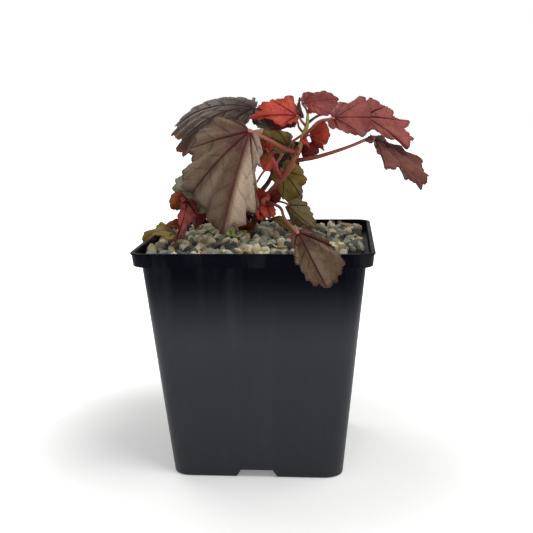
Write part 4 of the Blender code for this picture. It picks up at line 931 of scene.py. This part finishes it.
# a leaf stalk leaves its stem near "at", passes "via" and enters its leaf, from below where "under" is given
stalks = {
    "front_large": {
        "from": "leader", "at": (17.4, 1.5, 143.2), "via": ((11, -5, 146), (5, -14, 150.5)), "under": 1.2,
        "radii": (1.05, 0.85),
    },
    "upper_left": {
        "from": "branch end", "via": ((0.8, 21, 150), (0.2, 14, 153.5), (-1.4, 7, 159)), "under": 0.6,
        "radii": (0.65, 0.5),
    },
    "scarlet": {"from": "leader", "at": (21.8, -0.9, 155.4), "via": ((19.6, -2.6, 158.2),), "radii": (0.6, 0.5)},
    "scarlet_under": {"from": "leader", "at": (20.6, -0.3, 152.4), "via": ((18.2, 2.6, 155),), "radii": (0.55, 0.45)},
    "top_rose": {"from": "leader end", "via": ((21.6, -2.2, 163.8),), "radii": (0.5, 0.45)},
    "right_rose_inner": {
        "from": "leader", "at": (19.7, 0.2, 149.4), "via": ((23.5, -4, 154), (28, -8.5, 158.3)), "radii": (0.65, 0.5),
    },
    "right_rose_outer": {
        "from": "leader", "at": (22.1, -1.2, 157), "via": ((28, 5, 160.5), (38, 3.5, 161.5)), "radii": (0.6, 0.5),
    },
    "behind_stem": {"from": "leader", "at": (9.6, 6.5, 130.8), "radii": (0.7, 0.6)},
    "olive_upper": {"from": "leader", "at": (16, 2.4, 140.2), "via": ((14.4, 5, 143.5),), "radii": (0.6, 0.5)},
    "right_drooping": {
        "from": "leader", "at": (15.8, 2.6, 139.6), "via": ((26, -2, 141.5), (40, -5.5, 146)), "radii": (0.95, 0.75),
    },
    "tip_orange": {"from": "leader", "at": (19.9, 0.1, 150), "radii": (0.5, 0.45)},
    "over_rim": {"from": "knot", "via": ((9.5, -7, 119), (12.5, -24, 116.8), (16, -39, 115.5)), "radii": (0.75, 0.6)},
    "olive_lower": {"from": "knot", "via": ((9, 4.5, 120.2),), "radii": (0.6, 0.5)},
    "green_low": {"from": "stem", "at": (-2.6, 12.9, 113.7), "via": ((1.2, 14, 112.4),), "radii": (0.45, 0.4)},
    "pale_left": {
        "from": "red shoot", "at": (6, 1.8, 139.7), "via": ((1, -1, 134), (-4, -4, 127), (-13, -8, 124)),
        "radii": (0.5, 0.45),
    },
    "left_rim": {
        "from": "left shoot", "at": (-29, -16.7, 123),
        "via": ((-31.4, -21.8, 118), (-32.5, -25, 112.5), (-32.6, -24, 107.3)), "radii": (0.5, 0.45),
    },
    "back_left": {"from": "branch", "at": (3.6, 24, 138.2), "via": ((0, 30, 144),), "radii": (0.7, 0.6)},
    "back_right": {
        "from": "branch", "at": (3.2, 24, 141), "via": ((12, 27, 146), (26, 26, 155)), "radii": (0.7, 0.6),
    },
    "back_middle": {"from": "branch", "at": (4, 22.6, 134.2), "via": ((8, 30, 140),), "radii": (0.7, 0.6)},
    "back_low": {"from": "knot", "via": ((-5, 16, 123.5), (-12, 21, 127)), "radii": (0.6, 0.5)},
}
tubes = {"stemSides": 24, "stemRelief": 0.10, "stemSteps": 14, "stalkSides": 14, "stalkRelief": 0.05, "stalkStep": 0.9}
knot = {"centre": (1.2, 10.4, 119.6), "radii": (3.9, 3.7, 5.3), "lean": 24, "stalkStart": 2.2, "rings": 44, "sides": 56}


def barkMaterial(name, hexCodes):
    # young bark with soft wrinkles along it and pale pores; the colour runs with the stem's length
    made, tree, shader = newMaterial(name, {"Specular IOR Level": 0.4})
    place = addNode(tree, "ShaderNodeTexCoord").outputs["Object"]
    along = addNode(tree, "ShaderNodeAttribute", {"attribute_name": "along"}).outputs["Fac"]
    last = len(hexCodes) - 1
    first = colour(hexCodes[0])
    tone = addNode(tree, "ShaderNodeMix", {"data_type": "RGBA", 0: 0.0, 6: first, 7: first})
    for index, hexCode in enumerate(hexCodes[1:]):
        share = addNode(tree, "ShaderNodeMapRange", {1: index / last, 2: (index + 1) / last}, {0: along})
        tone = addNode(tree, "ShaderNodeMix", {"data_type": "RGBA", 7: colour(hexCode)},
                       {0: share, 6: tone.outputs[2]})
    # pores about 1.1 mm apart
    pores = addNode(tree, "ShaderNodeTexVoronoi", {"Scale": 900}, {"Vector": place})
    dots = addNode(tree, "ShaderNodeMapRange", {1: 0.12, 2: 0.28, 3: 0.35, 4: 0.0}, {0: pores})
    tone = addNode(tree, "ShaderNodeMix", {"data_type": "RGBA", 7: colour("#b08a70")}, {0: dots, 6: tone.outputs[2]})
    # skin grain of about 1.4 mm
    grain = addNode(tree, "ShaderNodeTexNoise", {"Scale": 700, "Detail": 5}, {"Vector": place})
    gloss = addNode(tree, "ShaderNodeMapRange", {1: 0.3, 2: 0.7, 3: 0.42, 4: 0.62}, {0: grain})
    bump = addNode(tree, "ShaderNodeBump", {"Strength": 0.5, "Distance": 0.3 * mm}, {"Height": grain})
    connect(tree, shader, {"Base Color": tone.outputs[2], "Roughness": gloss, "Normal": bump})
    return made


def tubeMesh(route, radii, sides, relief):
    # a round rod with a flat foot, a blunt tip and uneven relief
    points, along = [], []
    across = None
    last = len(route) - 1
    for index, middle in enumerate(route):
        ahead = (route[min(index + 1, last)] - route[max(index - 1, 0)]).normalized()
        across = (ahead.orthogonal() if across is None else across - ahead * across.dot(ahead)).normalized()
        second = ahead.cross(across)
        radius = mixed(radii, index / last)
        for side in range(sides):
            turn = math.tau * side / sides
            way = across * math.cos(turn) + second * math.sin(turn)
            rough = noise.noise(way * 2.2 + middle * 0.12) + 0.6 * noise.noise(way * 5 + middle * 0.5)
            points.append(middle + way * radius * (1 + relief * rough))
            along.append(index / last)
    points += [route[0], route[-1] + (route[-1] - route[-2]).normalized() * radii[-1] * 0.5]
    along += [0, 1]
    faces = ringFaces(last + 1, sides)
    low, high = len(points) - 2, len(points) - 1
    faces += [(low, (side + 1) % sides, side) for side in range(sides)]
    faces += [(high, last * sides + side, last * sides + (side + 1) % sides) for side in range(sides)]
    return points, faces, {"along": along}


def nearestOn(route, point):
    places = []
    for before, after in zip(route, route[1:]):
        span = after - before
        share = min(max((point - before).dot(span) / span.length_squared, 0), 1)
        places.append(before + span * share)
    return min(places, key=lambda place: (point - place).length)


def stalkRoute(name, routes):
    stalk, leaf = stalks[name], leaves["leaf_" + name]
    via = [Vector(point) for point in stalk.get("via", ())]
    base, run, up, _, _ = bladeFrame(leaf)
    arch = math.radians(leaf["arch"])
    ahead = run * math.cos(arch / 2) + up * math.sin(arch / 2)
    rises = up * math.cos(arch / 2) - run * math.sin(arch / 2)
    if stalk["from"] == "knot":
        centre = Vector(knot["centre"])
        start = centre + ((via[0] if via else base) - centre).normalized() * knot["stalkStart"]
    elif stalk["from"].endswith(" end"):
        start = routes[stalk["from"].removesuffix(" end")][-1]
    else:
        start = nearestOn(routes[stalk["from"]], Vector(stalk["at"]))
    if "under" in stalk:
        way, last = (rises * stalk["under"] + ahead).normalized(), base - rises * 0.3
    else:
        way, last = ahead, base + ahead * 0.3
    return [start, *via, last - way * 1.3, last]


def makeStems():
    routes = {}
    for key, stem in stems.items():
        routes[key] = smoothRoute(stem["route"], tubes["stemSteps"] * len(stem["route"]))
        points, faces, attributes = tubeMesh(routes[key], stem["radii"], tubes["stemSides"], tubes["stemRelief"])
        look = barkMaterial(stem["finish"], stem["colours"])
        piece = newPiece("bark_" + stem["node"], points, faces, look, attributes)
        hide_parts(stem["node"])
        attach(piece, "root")
    # leaf stalks: smooth and slightly uneven, red-brown and paler towards the leaf
    look = barkMaterial("smooth red leaf stalk", ("#6e2a22", "#85402f", "#9c5c4c"))
    for name, stalk in stalks.items():
        route = stalkRoute(name, routes)
        length = sum((b - a).length for a, b in zip(route, route[1:]))
        line = smoothRoute(route, max(8, int(length / tubes["stalkStep"])))
        # thick where it leaves the stem, thin along its way and a little thicker again at the leaf
        thick, thin = stalk["radii"]
        radii = (thick * 1.25, thick, thick, (thick + thin) / 2, thin, thin, thin * 1.2)
        points, faces, attributes = tubeMesh(line, radii, tubes["stalkSides"], tubes["stalkRelief"])
        piece = newPiece("petiole_" + name, points, faces, look, attributes)
        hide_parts("stalk_" + name)
        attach(piece, "root")


def makeKnot():
    # a swollen joint of crinkled red bud tissue, palest above its middle
    look = barkMaterial("crinkled red bud tissue", ("#5e1c1a", "#9c3a2c", "#b8604a", "#8a2c24"))
    lean = math.radians(knot["lean"])
    axis = Vector((math.sin(lean), -0.25, math.cos(lean))).normalized()
    across = axis.orthogonal().normalized()
    third = axis.cross(across)
    points, along = [], []
    rings, sides = knot["rings"], knot["sides"]
    width, depth, height = knot["radii"]
    for ring in range(rings + 1):
        slope = math.pi * (ring + 0.02) / (rings + 0.04)
        for side in range(sides):
            turn = math.tau * side / sides
            parts = (math.sin(slope) * math.cos(turn), math.sin(slope) * math.sin(turn), -math.cos(slope))
            way = across * parts[0] * width + third * parts[1] * depth + axis * parts[2] * height
            lumps = 0.20 * noise.noise(way * 0.55) + 0.14 * noise.noise(way * 1.3) + 0.05 * noise.noise(way * 3)
            points.append(Vector(knot["centre"]) + way * (0.93 + lumps))
            along.append(ring / rings)
    faces = [tuple(range(sides)), tuple(range(rings * sides, (rings + 1) * sides))] + ringFaces(rings + 1, sides)
    piece = newPiece("knot_tissue", points, faces, look, {"along": along})
    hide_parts("stem_knot")
    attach(piece, "root")


makeStudio()
print("studio made")
makePot()
print("pot made")
makeGrit()
print("grit scattered")
makeLeaves()
print("leaves made")
makeStems()
makeKnot()
print("stems made")
